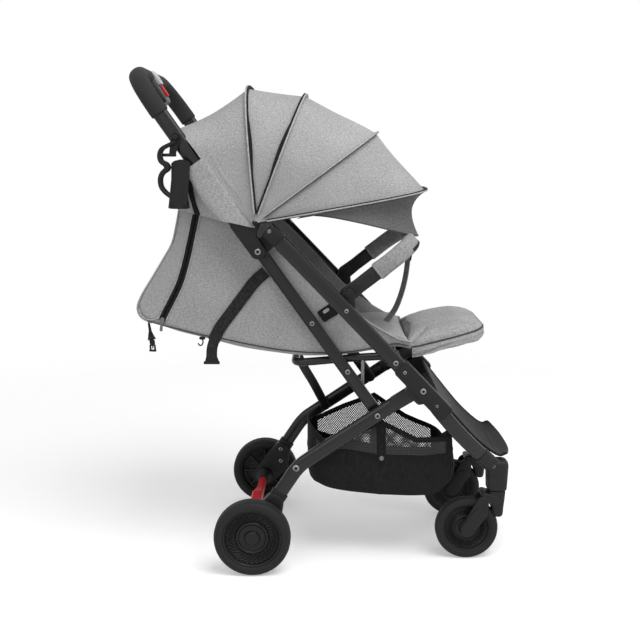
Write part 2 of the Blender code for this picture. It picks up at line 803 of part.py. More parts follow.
def build_front_hub(side_name, side, material, holder):
    """Spoked-look disc: the same dish and boss on both faces, with a bore for the fork's pin."""
    axle = Vector((FRONT_AXLE[0], side * FRONT_Y, FRONT_AXLE[1]))
    rim = 0.0495 - GAP
    half = [
        (0.0053, 0.0110), (0.0130, 0.0100), (0.0160, 0.0055), (0.0440, 0.0055),
        (rim, 0.0098),
    ]
    profile = half + [(radius, -height) for radius, height in half[::-1]]
    make_part(
        "front_hub_" + side_name, *turned(profile, axle, steps=28, closed=True),
        material, axle, holder,
    )


def build_caster_fork(side_name, side, material, holder):
    """Stem block under the housing, two arms swept back, and capsule covers over the axle."""
    stem_rings = []
    for z, low_x, high_x, half_y in (
        (0.0920, 0.4960, 0.5120, 0.0130),
        (0.0960, 0.4930, 0.5140, 0.0150),
        (0.1300, 0.4835, 0.5170, 0.0180),
        (0.1468, 0.4810, 0.5180, 0.0190),
    ):
        centre = Vector(((low_x + high_x) / 2, side * FRONT_Y, z))
        stem_rings.append(
            ring_points(
                centre, Vector((1.0, 0.0, 0.0)), Y_AXIS, (high_x - low_x) / 2, half_y, 8, 4.0
            )
        )
    swivel = Vector((SWIVEL_X, side * FRONT_Y, 0.1468))
    fork = make_part(
        "caster_fork_" + side_name, *bridge(stem_rings), material, swivel, holder
    )
    spindle = rod(swivel - Vector((0, 0, 0.01)), swivel + Vector((0, 0, 0.040)), 0.0058)
    add_boolean(fork, guide("caster_spindle_" + side_name, spindle, material), "UNION")
    inner = FRONT_HALF_WIDTH + 0.0015
    axle_x, axle_z = FRONT_AXLE
    for arm_name, arm_side in (("inner", -1.0), ("outer", 1.0)):
        low = side * FRONT_Y + arm_side * inner
        high = side * FRONT_Y + arm_side * (inner + 0.0065)
        arm = plate(
            hull_outline(
                [(axle_x, axle_z, 0.0150), (0.4660, 0.1020, 0.0155), (0.4700, 0.1230, 0.0130)], 10
            ),
            low, high,
        )
        arm_tool = guide("fork_arm_" + arm_name + "_" + side_name, arm, material)
        add_boolean(fork, arm_tool, "UNION")
    shoulder = plate(
        hull_outline([(0.4935, 0.1280, 0.0110), (0.4720, 0.1400, 0.0055)], 10),
        side * FRONT_Y - inner - 0.0065, side * FRONT_Y + inner + 0.0065,
    )
    add_boolean(fork, guide("fork_shoulder_" + side_name, shoulder, material), "UNION")
    fillet = plate(
        hull_outline([(0.4720, 0.1400, 0.0055), (0.4660, 0.1260, 0.0060)], 8),
        side * FRONT_Y - inner - 0.0065, side * FRONT_Y - inner,
    )
    add_boolean(fork, guide("fork_fillet_inner_" + side_name, fillet, material), "UNION")
    fillet = plate(
        hull_outline([(0.4720, 0.1400, 0.0055), (0.4660, 0.1260, 0.0060)], 8),
        side * FRONT_Y + inner, side * FRONT_Y + inner + 0.0065,
    )
    add_boolean(fork, guide("fork_fillet_outer_" + side_name, fillet, material), "UNION")
    axle = Vector((axle_x, side * FRONT_Y, axle_z))
    clearance = rod(axle - Y_AXIS * (inner - 0.0002), axle + Y_AXIS * (inner - 0.0002),
                    FRONT_RADIUS + 0.004, 20)
    add_boolean(fork, guide("fork_clearance_" + side_name, clearance, material), "DIFFERENCE")
    pin = rod(axle - Y_AXIS * (inner + 0.003), axle + Y_AXIS * (inner + 0.003), 0.0050)
    add_boolean(fork, guide("fork_pin_" + side_name, pin, material), "UNION")


# Folding links, seat frame and strut

def build_link(side_name, side, material, holder):
    outline = hull_outline(
        [(HANDLE_PIVOT[0], HANDLE_PIVOT[1], 0.0118), (LINK_PIVOT[0], LINK_PIVOT[1], 0.0118)]
    )
    pivot = Vector((LINK_PIVOT[0], side * LINK_Y, LINK_PIVOT[1]))
    link = make_part(
        "link_" + side_name,
        *plate(outline, side * (LINK_Y - LINK_HALF_WIDTH), side * (LINK_Y + LINK_HALF_WIDTH)),
        material, pivot, holder,
    )
    eye = rod(pivot - Y_AXIS * 0.02, pivot + Y_AXIS * 0.02, 0.0053)
    add_boolean(link, guide("link_eye_" + side_name, eye, material), "DIFFERENCE")


RAIL_PIVOT = on_tube(RAIL_STATION)
RAIL_END = (0.0850, 0.4190)
RAIL_Y = 0.146
STRUT_FOOT = on_leg(0.070)
STRUT_Y = 0.1640


def build_seat_frame(material, holder):
    """U-shaped seat tube: two side rails hung on the seat crossbar, joined across the back."""
    pivot_z = RAIL_PIVOT.z
    eye_x = RAIL_PIVOT.x
    half = [
        Vector((eye_x - 0.012, -RAIL_Y, pivot_z)),
        Vector((0.200, -RAIL_Y, 0.4290)),
        Vector((0.125, -RAIL_Y, 0.4215)),
        Vector((0.100, -RAIL_Y + 0.006, 0.4195)),
        Vector((0.087, -RAIL_Y + 0.020, 0.4190)),
        Vector((0.085, -RAIL_Y + 0.040, 0.4190)),
    ]
    path = half + [Vector((p.x, -p.y, p.z)) for p in half[::-1]]
    frame = make_part(
        "seat_frame", *sweep(path, 0.0080, 0.0080, Vector((0.0, 0.0, 1.0)), sides=8),
        material, RAIL_PIVOT, holder,
    )
    for side_name, side in SIDES:
        collar = plate(
            hull_outline([(eye_x, pivot_z, 0.0125), (eye_x - 0.020, pivot_z - 0.001, 0.0085)]),
            side * (RAIL_Y - 0.008), side * (RAIL_Y + 0.008),
        )
        add_boolean(frame, guide("rail_collar_" + side_name, collar, material), "UNION")
    eye = rod(RAIL_PIVOT - Y_AXIS * 0.18, RAIL_PIVOT + Y_AXIS * 0.18, 0.0083)
    add_boolean(frame, guide("rail_eye", eye, material), "DIFFERENCE")


def build_strut(material, holder):
    """Bent flat bar from the left rear leg up to the back of the seat frame."""
    outline_path = smooth_path(
        [(RAIL_END[0] - 0.004, 0, RAIL_END[1] - 0.010), (0.0800, 0, 0.3780), (0.0930, 0, 0.3460),
         (0.1180, 0, 0.3030), (STRUT_FOOT.x, 0, STRUT_FOOT.z)], 3
    )
    path = [Vector((p.x, STRUT_Y, p.z)) for p in outline_path]
    low_y = LEG_Y - LEG_HALF_WIDTH - 0.0006
    strut = make_part(
        "seat_strut",
        *sweep(path, 0.0100, 0.0035, Y_AXIS, sides=8, power=4.0),
        material, (STRUT_FOOT.x, STRUT_Y, STRUT_FOOT.z), holder,
    )
    foot = rod(
        (STRUT_FOOT.x, STRUT_Y - 0.0035, STRUT_FOOT.z), (STRUT_FOOT.x, low_y, STRUT_FOOT.z), 0.011
    )
    add_boolean(strut, guide("strut_foot", foot, material), "UNION")


# Bumper bar

SOCKET_AIM = math.radians(37.9)
SOCKET_POINT = (0.1900, 0.5625)
BAR_Y = 0.1800


def on_bar(station, across=0.0, y=0.0):
    x = SOCKET_POINT[0] + station * math.cos(SOCKET_AIM) - across * math.sin(SOCKET_AIM)
    z = SOCKET_POINT[1] + station * math.sin(SOCKET_AIM) + across * math.cos(SOCKET_AIM)
    return Vector((x, y, z))


def build_bar_bracket(side_name, side, material, holder):
    """Bracket on the inner face of the main tube, with the pin that carries the bumper bar."""
    low = on_tube(SOCKET_STATION - 0.012)
    high = on_tube(SOCKET_STATION + 0.012)
    outline = hull_outline(
        [(low.x, low.z, 0.011), (high.x, high.z, 0.011), (*SOCKET_POINT, 0.0125)], 16
    )
    inner = BAR_Y + 0.0055 + GAP * 2
    bracket = make_part(
        "bar_bracket_" + side_name,
        *plate(outline, side * inner, side * (TUBE_Y - TUBE_HALF_WIDTH - GAP)),
        material, on_tube(SOCKET_STATION, y=side * (BAR_Y + 0.010)), holder,
    )
    ear = Vector((SOCKET_POINT[0], 0.0, SOCKET_POINT[1]))
    pin = rod(ear + Y_AXIS * side * (inner + 0.003), ear + Y_AXIS * side * (BAR_Y - 0.004), 0.0060)
    add_boolean(bracket, guide("bracket_pin_" + side_name, pin, material), "UNION")


def bar_path(start, steps=4):
    """Centre line of the bumper bar from the right arm round the front to the middle."""
    reach = 0.161
    radius = 0.060
    path = [on_bar(start, y=-BAR_Y), on_bar(reach - radius, y=-BAR_Y)]
    for number in range(1, steps + 1):
        angle = math.pi / 2 * number / steps
        path.append(
            on_bar(
                reach - radius + radius * math.sin(angle),
                y=-BAR_Y + radius * (1 - math.cos(angle)),
            )
        )
    return path


BAR_NORMAL = Vector((-math.sin(SOCKET_AIM), 0.0, math.cos(SOCKET_AIM)))


def build_bumper_bar(material, holder):
    half = bar_path(0.016)
    path = half + mirrored(half)[::-1]
    bar = make_part(
        "bumper_bar", *sweep(path, 0.0050, 0.0125, BAR_NORMAL, sides=8, power=3.0),
        material, (SOCKET_POINT[0], 0.0, SOCKET_POINT[1]), holder,
    )
    for side_name, side in SIDES:
        arm = plate(
            hull_outline([(*SOCKET_POINT, 0.0160), (on_bar(0.03).x, on_bar(0.03).z, 0.0140)]),
            side * (BAR_Y - 0.0055), side * (BAR_Y + 0.0055),
        )
        add_boolean(bar, guide("bar_arm_" + side_name, arm, material), "UNION")
    ear = Vector((SOCKET_POINT[0], 0.0, SOCKET_POINT[1]))
    eye = rod(ear - Y_AXIS * 0.25, ear + Y_AXIS * 0.25, 0.0063)
    add_boolean(bar, guide("bar_eye", eye, material), "DIFFERENCE")


def build_bumper_cover(material, holder):
    half = bar_path(0.070)
    path = half + mirrored(half)[::-1]
    cover = make_part(
        "bumper_cover", *sweep(path, 0.0100, 0.0175, BAR_NORMAL, sides=10, power=2.6),
        material, on_bar(0.161), holder,
    )
    core_half = bar_path(0.050)
    core = sweep(
        core_half + mirrored(core_half)[::-1], 0.0053, 0.0128, BAR_NORMAL, sides=8, power=3.0
    )
    add_boolean(cover, guide("cover_core", core, material), "DIFFERENCE")


# Seat: fabric tub, cushions and leg rest

SEAT_Y = 0.1535
SEAT_WALL = 0.003


def tub(name, outline, inner_outline, half_y, wall, material, origin, holder):
    """An open tub: the side outline between two walls, hollowed by a larger-topped inner outline."""
    body = make_part(name, *plate(outline, -half_y, half_y), material, origin, holder)
    hollow = plate(inner_outline, -half_y + wall, half_y - wall)
    add_boolean(body, guide(name + "_hollow", hollow, material), "DIFFERENCE")
    return body


def build_seat_shell(material, holder):
    outline = [
        (-0.1460, 0.7290), (-0.1530, 0.6700), (-0.1650, 0.6380), (-0.2290, 0.5270),
        (-0.2180, 0.5060), (-0.1950, 0.4980), (-0.1380, 0.4790), (-0.0820, 0.4660),
        (-0.0200, 0.4500), (0.0500, 0.4390), (0.1100, 0.4330), (0.2400, 0.4450),
        (0.2900, 0.4600), (0.2960, 0.4850), (0.2000, 0.5250), (0.1250, 0.6050), (0.0500, 0.6850),
        (0.0, 0.7150), (-0.0800, 0.7300),
    ]
    inner = [
        (-0.1430, 0.7600), (-0.1495, 0.6695), (-0.1615, 0.6365), (-0.2250, 0.5275),
        (-0.2160, 0.5100), (-0.1940, 0.5015), (-0.1370, 0.4825), (-0.0810, 0.4695),
        (-0.0190, 0.4535), (0.0505, 0.4425), (0.1100, 0.4365), (0.2390, 0.4485),
        (0.2865, 0.4625), (0.2960, 0.5600), (0.2200, 0.7600),
    ]
    tub("seat_shell", outline, inner, SEAT_Y, SEAT_WALL, material, (0.06, 0.0, 0.45), holder)


def cushion(name, outline, half_y, rounding, material, origin, holder):
    """A soft pad: an outline in the side plane with its edges rounded over."""
    pad = make_part(name, *plate(outline, -half_y, half_y), material, origin, holder)
    add_bevel(pad, rounding, 2)
    return pad


def build_seat_pad(material, holder):
    outline = [
        (0.0500, 0.4440), (0.1100, 0.4378), (0.2380, 0.4500), (0.2840, 0.4640),
        (0.2840, 0.4740), (0.2300, 0.4730), (0.1100, 0.4640), (0.0560, 0.4660),
    ]
    cushion("seat_pad", outline, 0.1470, 0.004, material, (0.17, 0.0, 0.45), holder)


BACK_HINGE = (0.0380, 0.4620)


def build_backrest(material, holder):
    """Padded backrest, lying back in the shell as far as its strap lets it."""
    outline = [
        (0.0440, 0.4500), (0.0480, 0.4700), (-0.0100, 0.4920), (-0.1000, 0.5300), (-0.1700, 0.5760),
        (-0.1990, 0.5640), (-0.1150, 0.5060), (-0.0200, 0.4640),
    ]
    cushion("backrest", outline, 0.1440, 0.004, material, (BACK_HINGE[0], 0.0, BACK_HINGE[1]), holder)


LEG_REST_HINGE = (0.3020, 0.4580)


def build_leg_rest(material, holder):
    outline = [
        (0.2990, 0.4500), (0.3400, 0.4380), (0.4200, 0.4540), (0.4640, 0.4700), (0.4700, 0.4880),
        (0.4550, 0.4985), (0.3850, 0.4870), (0.3300, 0.4830), (0.3000, 0.4760),
    ]
    cushion("leg_rest", outline, 0.1420, 0.005, material,
            (LEG_REST_HINGE[0], 0.0, LEG_REST_HINGE[1]), holder)


# Canopy: bows on a common hub, with a fabric panel between each two

BOWS = (
    ("canopy_bow_1", math.radians(95.0), 0.2640),
    ("canopy_bow_2", math.radians(69.0), 0.2640),
    ("canopy_bow_3", math.radians(36.0), 0.2940),
    ("canopy_bow_4", math.radians(11.5), 0.3400),
)
BOW_POWER = 0.62


def bow_point(angle, reach, around, grow=0.0):
    """A point of the arch at an angle round the hub. around runs from 0, the right end, to 1."""
    turn = math.pi * around
    spread = -math.cos(turn)
    rise = max(math.sin(turn), 0.0)
    side = math.copysign(abs(spread) ** BOW_POWER, spread) * (BOW_Y + grow)
    out = rise**BOW_POWER * (reach + grow)
    return Vector((HUB[0] + out * math.cos(angle), side, HUB[1] + out * math.sin(angle)))


def eased(share):
    """Spreads the stations of an arch so that they crowd together towards its two ends."""
    return 0.5 - 0.5 * math.cos(math.pi * share)


ARCH_LOW = 0.08
ARCH_COLUMNS = 17
BOW_HALF_THICKNESS = 0.0010
BOW_HALF_WIDTH = 0.0032
BOW_EYE_RADIUS = 0.0060
BOW_EYE_REACH = 0.034


def arch_points(angle, reach, grow):
    """Points along an arch at one angle, from the right side over the top to the left."""
    span = 1 - 2 * ARCH_LOW
    return [
        bow_point(angle, reach, eased(ARCH_LOW + span * column / (ARCH_COLUMNS - 1)), grow)
        for column in range(ARCH_COLUMNS)
    ]


def build_bow(number, name, angle, reach, material, holder):
    """A flat strip bent into an arch, with an eye at each end on the hub's post.

    The four strips stay in their own layers along Y as far as the reach of their eyes, so that
    they pass each other there when the canopy folds.
    """
    eye_y = EYE_Y + EYE_STEP * number
    direction = Vector((math.cos(angle), 0.0, math.sin(angle)))
    hub = Vector((HUB[0], 0.0, HUB[1]))
    eye_end = direction * BOW_EYE_REACH
    path = [hub - Y_AXIS * eye_y, hub - Y_AXIS * eye_y + eye_end]
    path += arch_points(angle, reach, 0.0)
    path += [hub + Y_AXIS * eye_y + eye_end, hub + Y_AXIS * eye_y]
    normal = Vector((-math.sin(angle), 0.0, math.cos(angle)))
    bow = make_part(
        name, *sweep(path, BOW_HALF_THICKNESS, BOW_HALF_WIDTH, normal, sides=4, power=12.0),
        material, (HUB[0], 0.0, HUB[1]), holder,
    )
    for side_name, side in SIDES:
        eye = rod(
            hub + Y_AXIS * side * (eye_y - BOW_HALF_THICKNESS),
            hub + Y_AXIS * side * (eye_y + BOW_HALF_THICKNESS),
            BOW_EYE_RADIUS, 10,
        )
        add_boolean(bow, guide(name + "_eye_" + side_name, eye, material), "UNION")
    hole = rod(hub - Y_AXIS * 0.25, hub + Y_AXIS * 0.25, 0.0034, 8)
    add_boolean(bow, guide(name + "_hole", hole, material), "DIFFERENCE")


HEM_Y = 0.2030


def hem_edge(grow):
    """The back hem: up the front of both handle tubes, and arched across between them."""
    points = []
    climb = 4
    arch = ARCH_COLUMNS - 2 * climb
    for number in range(climb):
        points.append(on_handle(0.075 + 0.115 * number / climb, 0.0200 + grow, -HEM_Y - grow))
    for number in range(arch):
        turn = math.pi * number / (arch - 1)
        points.append(
            on_handle(
                0.190 + 0.098 * math.sin(turn),
                0.0200 + grow - 0.022 * math.sin(turn) ** 2,
                -(HEM_Y + grow) * math.cos(turn),
            )
        )
    return points + mirrored(points[:climb])[::-1]


def build_panel(name, low_edge, high_edge, margin, sag, material, holder, rows=4):
    """Fabric between two edges, pulled in by its own tension halfway between them."""
    hub = Vector((HUB[0], 0.0, HUB[1]))
    grids = []
    for grow in (0.0046, 0.0026):
        low = low_edge(grow)
        high = high_edge(grow)
        grid = []
        for row in range(rows):
            share = margin[0] + (1 - margin[0] - margin[1]) * row / (rows - 1)
            line = []
            for start, end in zip(low, high):
                point = start.lerp(end, share)
                inward = Vector((hub.x - point.x, 0.0, hub.z - point.z))
                depth = min(inward.length / 0.26, 1.0)
                line.append(point + inward.normalized() * (sag * depth * math.sin(math.pi * share)))
            grid.append(line)
        grids.append(grid)
    make_part(name, *shell_between(*grids), material, hub, holder)


def build_visor(material, holder):
    """Peak that hangs from the front bow and curls under, deepest in the middle."""
    bow = BOWS[3]
    angle = bow[1]
    normal = Vector((-math.sin(angle), 0.0, math.cos(angle)))
    reach = bow[2]
    rows = 4
    columns = 15
    first = 0.15
    grids = []
    for grow in (0.0046, 0.0026):
        grid = []
        for row in range(rows):
            share = row / (rows - 1)
            line = []
            for column in range(columns):
                around = eased(first + (1 - 2 * first) * column / (columns - 1))
                top = bow_point(angle, reach, around, grow) - normal * 0.0060
                out = Vector((top.x - HUB[0], 0.0, top.z - HUB[1])).length
                drop = 0.004 + 0.092 * min(max((out - 0.125) / 0.215, 0.0), 1.0) ** 1.3
                curl = 0.017 * math.sin(math.pi * share) * drop / 0.096
                inward = Vector((-1.0, -0.6 * math.copysign(1.0, top.y) * (top.y / BOW_Y) ** 2, 0.0))
                line.append(top + Vector((-0.003 * share, 0.0, -drop * share)) + inward * curl)
            grid.append(line)
        grids.append(grid)
    make_part("visor", *shell_between(*grids), material, (HUB[0], 0.0, HUB[1]), holder)


# Cup holder on the right handle tube

def build_cup_holder(material, holder):
    """Open cage hung on the handle's stud: arm, upper ring, four bowed ribs and a round base."""
    stud = on_handle(STUD_STATION, y=-HANDLE_Y)
    outer = -HANDLE_Y - 0.0095
    ring_centre = Vector((-0.1570, -0.1990, 0.8300))
    base_centre = Vector((-0.1330, -0.1990, 0.7330))
    arm = plate(
        hull_outline([(stud.x, stud.z, 0.0095), (-0.1420, 0.8330, 0.0060)], 16),
        outer - 0.0005, outer - 0.0045,
    )
    cage = make_part("cup_holder", *arm, material, (stud.x, -HANDLE_Y, stud.z), holder)
    hole = rod(stud - Y_AXIS * 0.05, stud + Y_AXIS * 0.01, 0.0053)
    add_boolean(cage, guide("holder_hole", hole, material), "DIFFERENCE")
    verts, faces = turned(
        [(0.0190, -0.0060), (0.0225, -0.0060), (0.0225, 0.0060), (0.0190, 0.0060)],
        Vector((0.0, 0.0, 0.0)), Vector((0.0, 0.0, 1.0)), 16, closed=True,
    )
    ring = [ring_centre + Vector((v.x, v.y * 1.18, v.z)) for v in verts]
    add_boolean(cage, guide("holder_ring", (ring, faces), material), "UNION")
    base = rod(base_centre - Vector((0, 0, 0.0035)), base_centre + Vector((0, 0, 0.0035)), 0.0205, 16)
    add_boolean(cage, guide("holder_base", base, material), "UNION")
    for number, (x, y) in enumerate(((-1, 0), (1, 0), (0, -1), (0, 1))):
        top = ring_centre + Vector((x * 0.0207, y * 0.0207 * 1.18, -0.002))
        foot = base_centre + Vector((x * 0.0180, y * 0.0180, 0.0))
        swell = Vector((x * 0.0040 if x < 0 else 0.0, y * 0.0060, 0.0))
        path = smooth_path(
            [top, top.lerp(foot, 0.4) + swell * 0.5, top.lerp(foot, 0.72) + swell, foot], 1
        )
        depth = Vector((0.0, 1.0, 0.0)) if x else Vector((1.0, 0.0, 0.0))
        rib = sweep(path, 0.0018, 0.0060, depth, sides=4, power=12.0)
        add_boolean(cage, guide("holder_rib_" + str(number), rib, material), "UNION")


# Straps

def strap(name, path, width, thickness, width_axis, material, holder):
    make_part(
        name,
        *sweep([Vector(p) for p in path], thickness / 2, width / 2, width_axis, sides=8, power=6.0),
        material, path[0], holder,
    )


def build_straps(material, holder):
    crotch = smooth_path(
        [(0.3250, 0.0, 0.6410), (0.3200, 0.0, 0.6080), (0.3120, 0.0, 0.5560),
         (0.2960, 0.0, 0.5080), (0.2740, 0.0, 0.4770)], 2
    )
    strap("crotch_strap", crotch, 0.026, 0.0024, Y_AXIS, material, holder)
    side_path = smooth_path(
        [(0.0280, -0.1549, 0.6030), (-0.0150, -0.1549, 0.5560), (-0.0560, -0.1549, 0.5020),
         (-0.0770, -0.1549, 0.4640), (-0.0800, -0.1549, 0.4180)], 3
    )
    make_part(
        "side_strap",
        *sweep(side_path, 0.0125, 0.0009, Y_AXIS, sides=8, power=6.0),
        material, side_path[0], holder,
    )
    strap(
        "recline_strap",
        [(-0.2080, -0.140, 0.4975), (-0.2060, -0.140, 0.4780), (-0.2000, -0.140, 0.4500)],
        0.022, 0.0024, Y_AXIS, material, holder,
    )


# Basket

def build_basket(material, holder):
    outline = [
        (0.1120, 0.2400), (0.1220, 0.1900), (0.1420, 0.1580), (0.1900, 0.1440),
        (0.3000, 0.1380), (0.3810, 0.1405), (0.4080, 0.1620), (0.4150, 0.1950), (0.4080, 0.2600),
        (0.3350, 0.2580), (0.3000, 0.2660), (0.2680, 0.2880), (0.2480, 0.2980), (0.1900, 0.2720),
    ]
    inner = [
        (0.1120, 0.3600), (0.1160, 0.2400), (0.1250, 0.1905), (0.1440, 0.1605), (0.1905, 0.1470),
        (0.3000, 0.1410), (0.3800, 0.1435), (0.4055, 0.1635), (0.4120, 0.1950), (0.4050, 0.2600),
        (0.4000, 0.3600),
    ]
    tub("basket", outline, inner, 0.1500, 0.003, material, (0.26, 0.0, 0.15), holder)


def build_all():
    clear_scene()
    black = make_material("frame_black", BLACK, 0.32, 0.6)
    plastic = make_material("black_plastic", SOFT_BLACK, 0.5)
    grey_plastic = make_material("grey_plastic", DARK_GREY, 0.45)
    fabric = make_material("melange_fabric", MELANGE, 0.95)
    lining = make_material("black_fabric", SOFT_BLACK, 0.95)
    foam = make_material("grip_foam", SOFT_BLACK, 0.9)
    rubber = make_material("tyre_rubber", SOFT_BLACK, 0.8)
    light = make_material("button_grey", LIGHT_GREY, 0.4)
    red = make_material("signal_red", RED, 0.35)
    steel = make_material("zinc_steel", ZINC, 0.35, 1.0)

    root = make_holder("front_frame_body", (0.0, 0.0, 0.0))
    sliders = make_holder("slider_body", on_tube(0.0))
    pivot = (HANDLE_PIVOT[0], 0.0, HANDLE_PIVOT[1])
    handle = make_holder("handle_body", pivot)
    rear = make_holder("rear_frame_body", LEG_JOINT)
    for side_name, side in SIDES:
        build_front_tube(side_name, side, black, root)
        build_leg_joint(side_name, side, plastic, root)
        build_caster_housing(side_name, side, plastic, root)
        build_bar_bracket(side_name, side, plastic, root)
        build_slider(side_name, side, plastic, sliders)
        build_handle_end(side_name, side, grey_plastic, handle)
        build_grip(side_name, side, foam, handle)
        build_rear_leg(side_name, side, black, rear)
        build_wheel_bracket(side_name, side, plastic, rear)
        build_link(side_name, side, black,
                   make_holder("link_body_" + side_name, (LINK_PIVOT[0], 0.0, LINK_PIVOT[1])))
        rear_axle = Vector((REAR_AXLE[0], side * REAR_Y, REAR_AXLE[1]))
        wheel = make_holder("rear_wheel_body_" + side_name, rear_axle)
        build_tyre("rear_tyre_" + side_name, rear_axle, REAR_RADIUS, 0.0590, REAR_HALF_WIDTH,
                   32, rubber, wheel)
        build_rear_hub(side_name, side, plastic, wheel)
        swivel = make_holder("caster_body_" + side_name, (SWIVEL_X, side * FRONT_Y, 0.1468))
        build_caster_fork(side_name, side, plastic, swivel)
        front_axle = Vector((FRONT_AXLE[0], side * FRONT_Y, FRONT_AXLE[1]))
        wheel = make_holder("front_wheel_body_" + side_name, front_axle)
        build_tyre("front_tyre_" + side_name, front_axle, FRONT_RADIUS, 0.0495,
                   FRONT_HALF_WIDTH, 28, rubber, wheel)
        build_front_hub(side_name, side, plastic, wheel)
    build_footrest(grey_plastic, root)
    build_seat_crossbar(black, root)
    build_handle_tube(black, handle)
    build_release_housing(plastic, handle)
    build_release_button(light, handle)
    build_lock_slider(red, handle)
    build_rear_axle(steel, rear)
    build_brake_pedal(red, make_holder("brake_body", (REAR_AXLE[0], 0.0, REAR_AXLE[1])))
    build_seat_frame(black, make_holder("seat_frame_body", RAIL_PIVOT))
    build_strut(black, make_holder("strut_body", STRUT_FOOT))
    bumper = make_holder("bumper_body", (SOCKET_POINT[0], 0.0, SOCKET_POINT[1]))
    build_bumper_bar(plastic, bumper)
    build_bumper_cover(fabric, bumper)
    build_seat_shell(fabric, root)
    build_seat_pad(fabric, root)
    build_backrest(fabric, make_holder("backrest_body", (BACK_HINGE[0], 0.0, BACK_HINGE[1])))
    build_leg_rest(fabric, make_holder("leg_rest_body", (LEG_REST_HINGE[0], 0.0, LEG_REST_HINGE[1])))
    build_basket(lining, root)
    build_straps(lining, root)
    build_cup_holder(plastic, make_holder("cup_holder_body", on_handle(STUD_STATION)))
    hub = (HUB[0], 0.0, HUB[1])
    carriers = [handle] + [make_holder("bow_body_" + str(number), hub) for number in (2, 3, 4)]
    for number, ((name, angle, reach), carrier) in enumerate(zip(BOWS, carriers)):
        build_bow(number, name, angle, reach, plastic, carrier)
    build_panel("canopy_rear", hem_edge, lambda grow: arch_points(*BOWS[0][1:], grow), (0.0, 0.05),
                0.008, fabric, handle)
    for number in range(3):
        low = BOWS[number]
        high = BOWS[number + 1]
        build_panel(
            "canopy_panel_" + str(number + 1),
            lambda grow, bow=low: arch_points(*bow[1:], grow),
            lambda grow, bow=high: arch_points(*bow[1:], grow),
            (0.045, 0.045), 0.007, fabric, carriers[number + 1],
        )
    build_visor(fabric, carriers[3])


build_all()
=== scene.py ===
"""A compact travel stroller on white paper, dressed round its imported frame.

The sections follow the stroller as it is put together: the studio, the frame, the wheels, the
basket, the seat, the hood, the bumper bar and the handle. X runs forward, Y to the stroller's
left and Z up, in metres. The side view is measured from the rear axle, and X_CENTRE moves it so
that the middle of the stroller's length is at X = 0.
"""

import math

import bmesh
import bpy
import numpy as np
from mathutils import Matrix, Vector

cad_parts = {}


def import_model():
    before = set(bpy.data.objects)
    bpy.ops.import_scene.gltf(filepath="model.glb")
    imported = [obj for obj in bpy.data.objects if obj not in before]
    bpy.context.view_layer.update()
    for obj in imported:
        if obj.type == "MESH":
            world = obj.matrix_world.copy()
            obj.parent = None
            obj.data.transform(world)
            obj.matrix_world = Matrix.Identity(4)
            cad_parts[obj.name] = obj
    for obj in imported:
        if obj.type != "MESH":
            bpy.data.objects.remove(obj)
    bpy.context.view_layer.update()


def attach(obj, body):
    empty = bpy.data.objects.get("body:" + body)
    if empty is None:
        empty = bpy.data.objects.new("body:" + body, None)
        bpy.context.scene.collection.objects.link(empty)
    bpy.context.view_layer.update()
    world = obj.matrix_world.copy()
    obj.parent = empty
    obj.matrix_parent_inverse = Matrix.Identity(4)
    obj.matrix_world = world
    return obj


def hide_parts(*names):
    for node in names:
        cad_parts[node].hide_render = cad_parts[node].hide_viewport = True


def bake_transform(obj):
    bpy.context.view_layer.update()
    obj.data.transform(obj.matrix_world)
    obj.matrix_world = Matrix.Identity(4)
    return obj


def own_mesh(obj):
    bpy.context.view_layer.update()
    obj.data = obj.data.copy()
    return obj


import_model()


# Studio
# The photographer's table: a broad sheet of white paper under the stroller, a large soft lamp
# overhead, weaker ones beside the camera and in front, and a bright white room all round.

class Socket:
    """One output of a finish's nodes. Arithmetic on it adds Math nodes."""

    def __init__(self, finish, output):
        self.finish = finish
        self.output = output

    def maths(self, operation, first, second=0.0):
        return self.finish.node("ShaderNodeMath", {"operation": operation}, {0: first, 1: second})

    def __add__(self, other):
        return self.maths("ADD", self, other)

    def __sub__(self, other):
        return self.maths("SUBTRACT", self, other)

    def __mul__(self, other):
        return self.maths("MULTIPLY", self, other)

    def __lt__(self, other):
        return self.maths("LESS_THAN", self, other)

    def sine(self):
        return self.maths("SINE", self)

    def size(self):
        return self.maths("ABSOLUTE", self)

    def most(self, other):
        return self.maths("MAXIMUM", self, other)

    def least(self, other):
        return self.maths("MINIMUM", self, other)

    def step(self, start, end):
        """A smooth step from 0 at start to 1 at end."""
        return self.finish.node("ShaderNodeMapRange", {"interpolation_type": "SMOOTHSTEP"},
            {0: self, 1: start, 2: end, 3: 0.0, 4: 1.0})


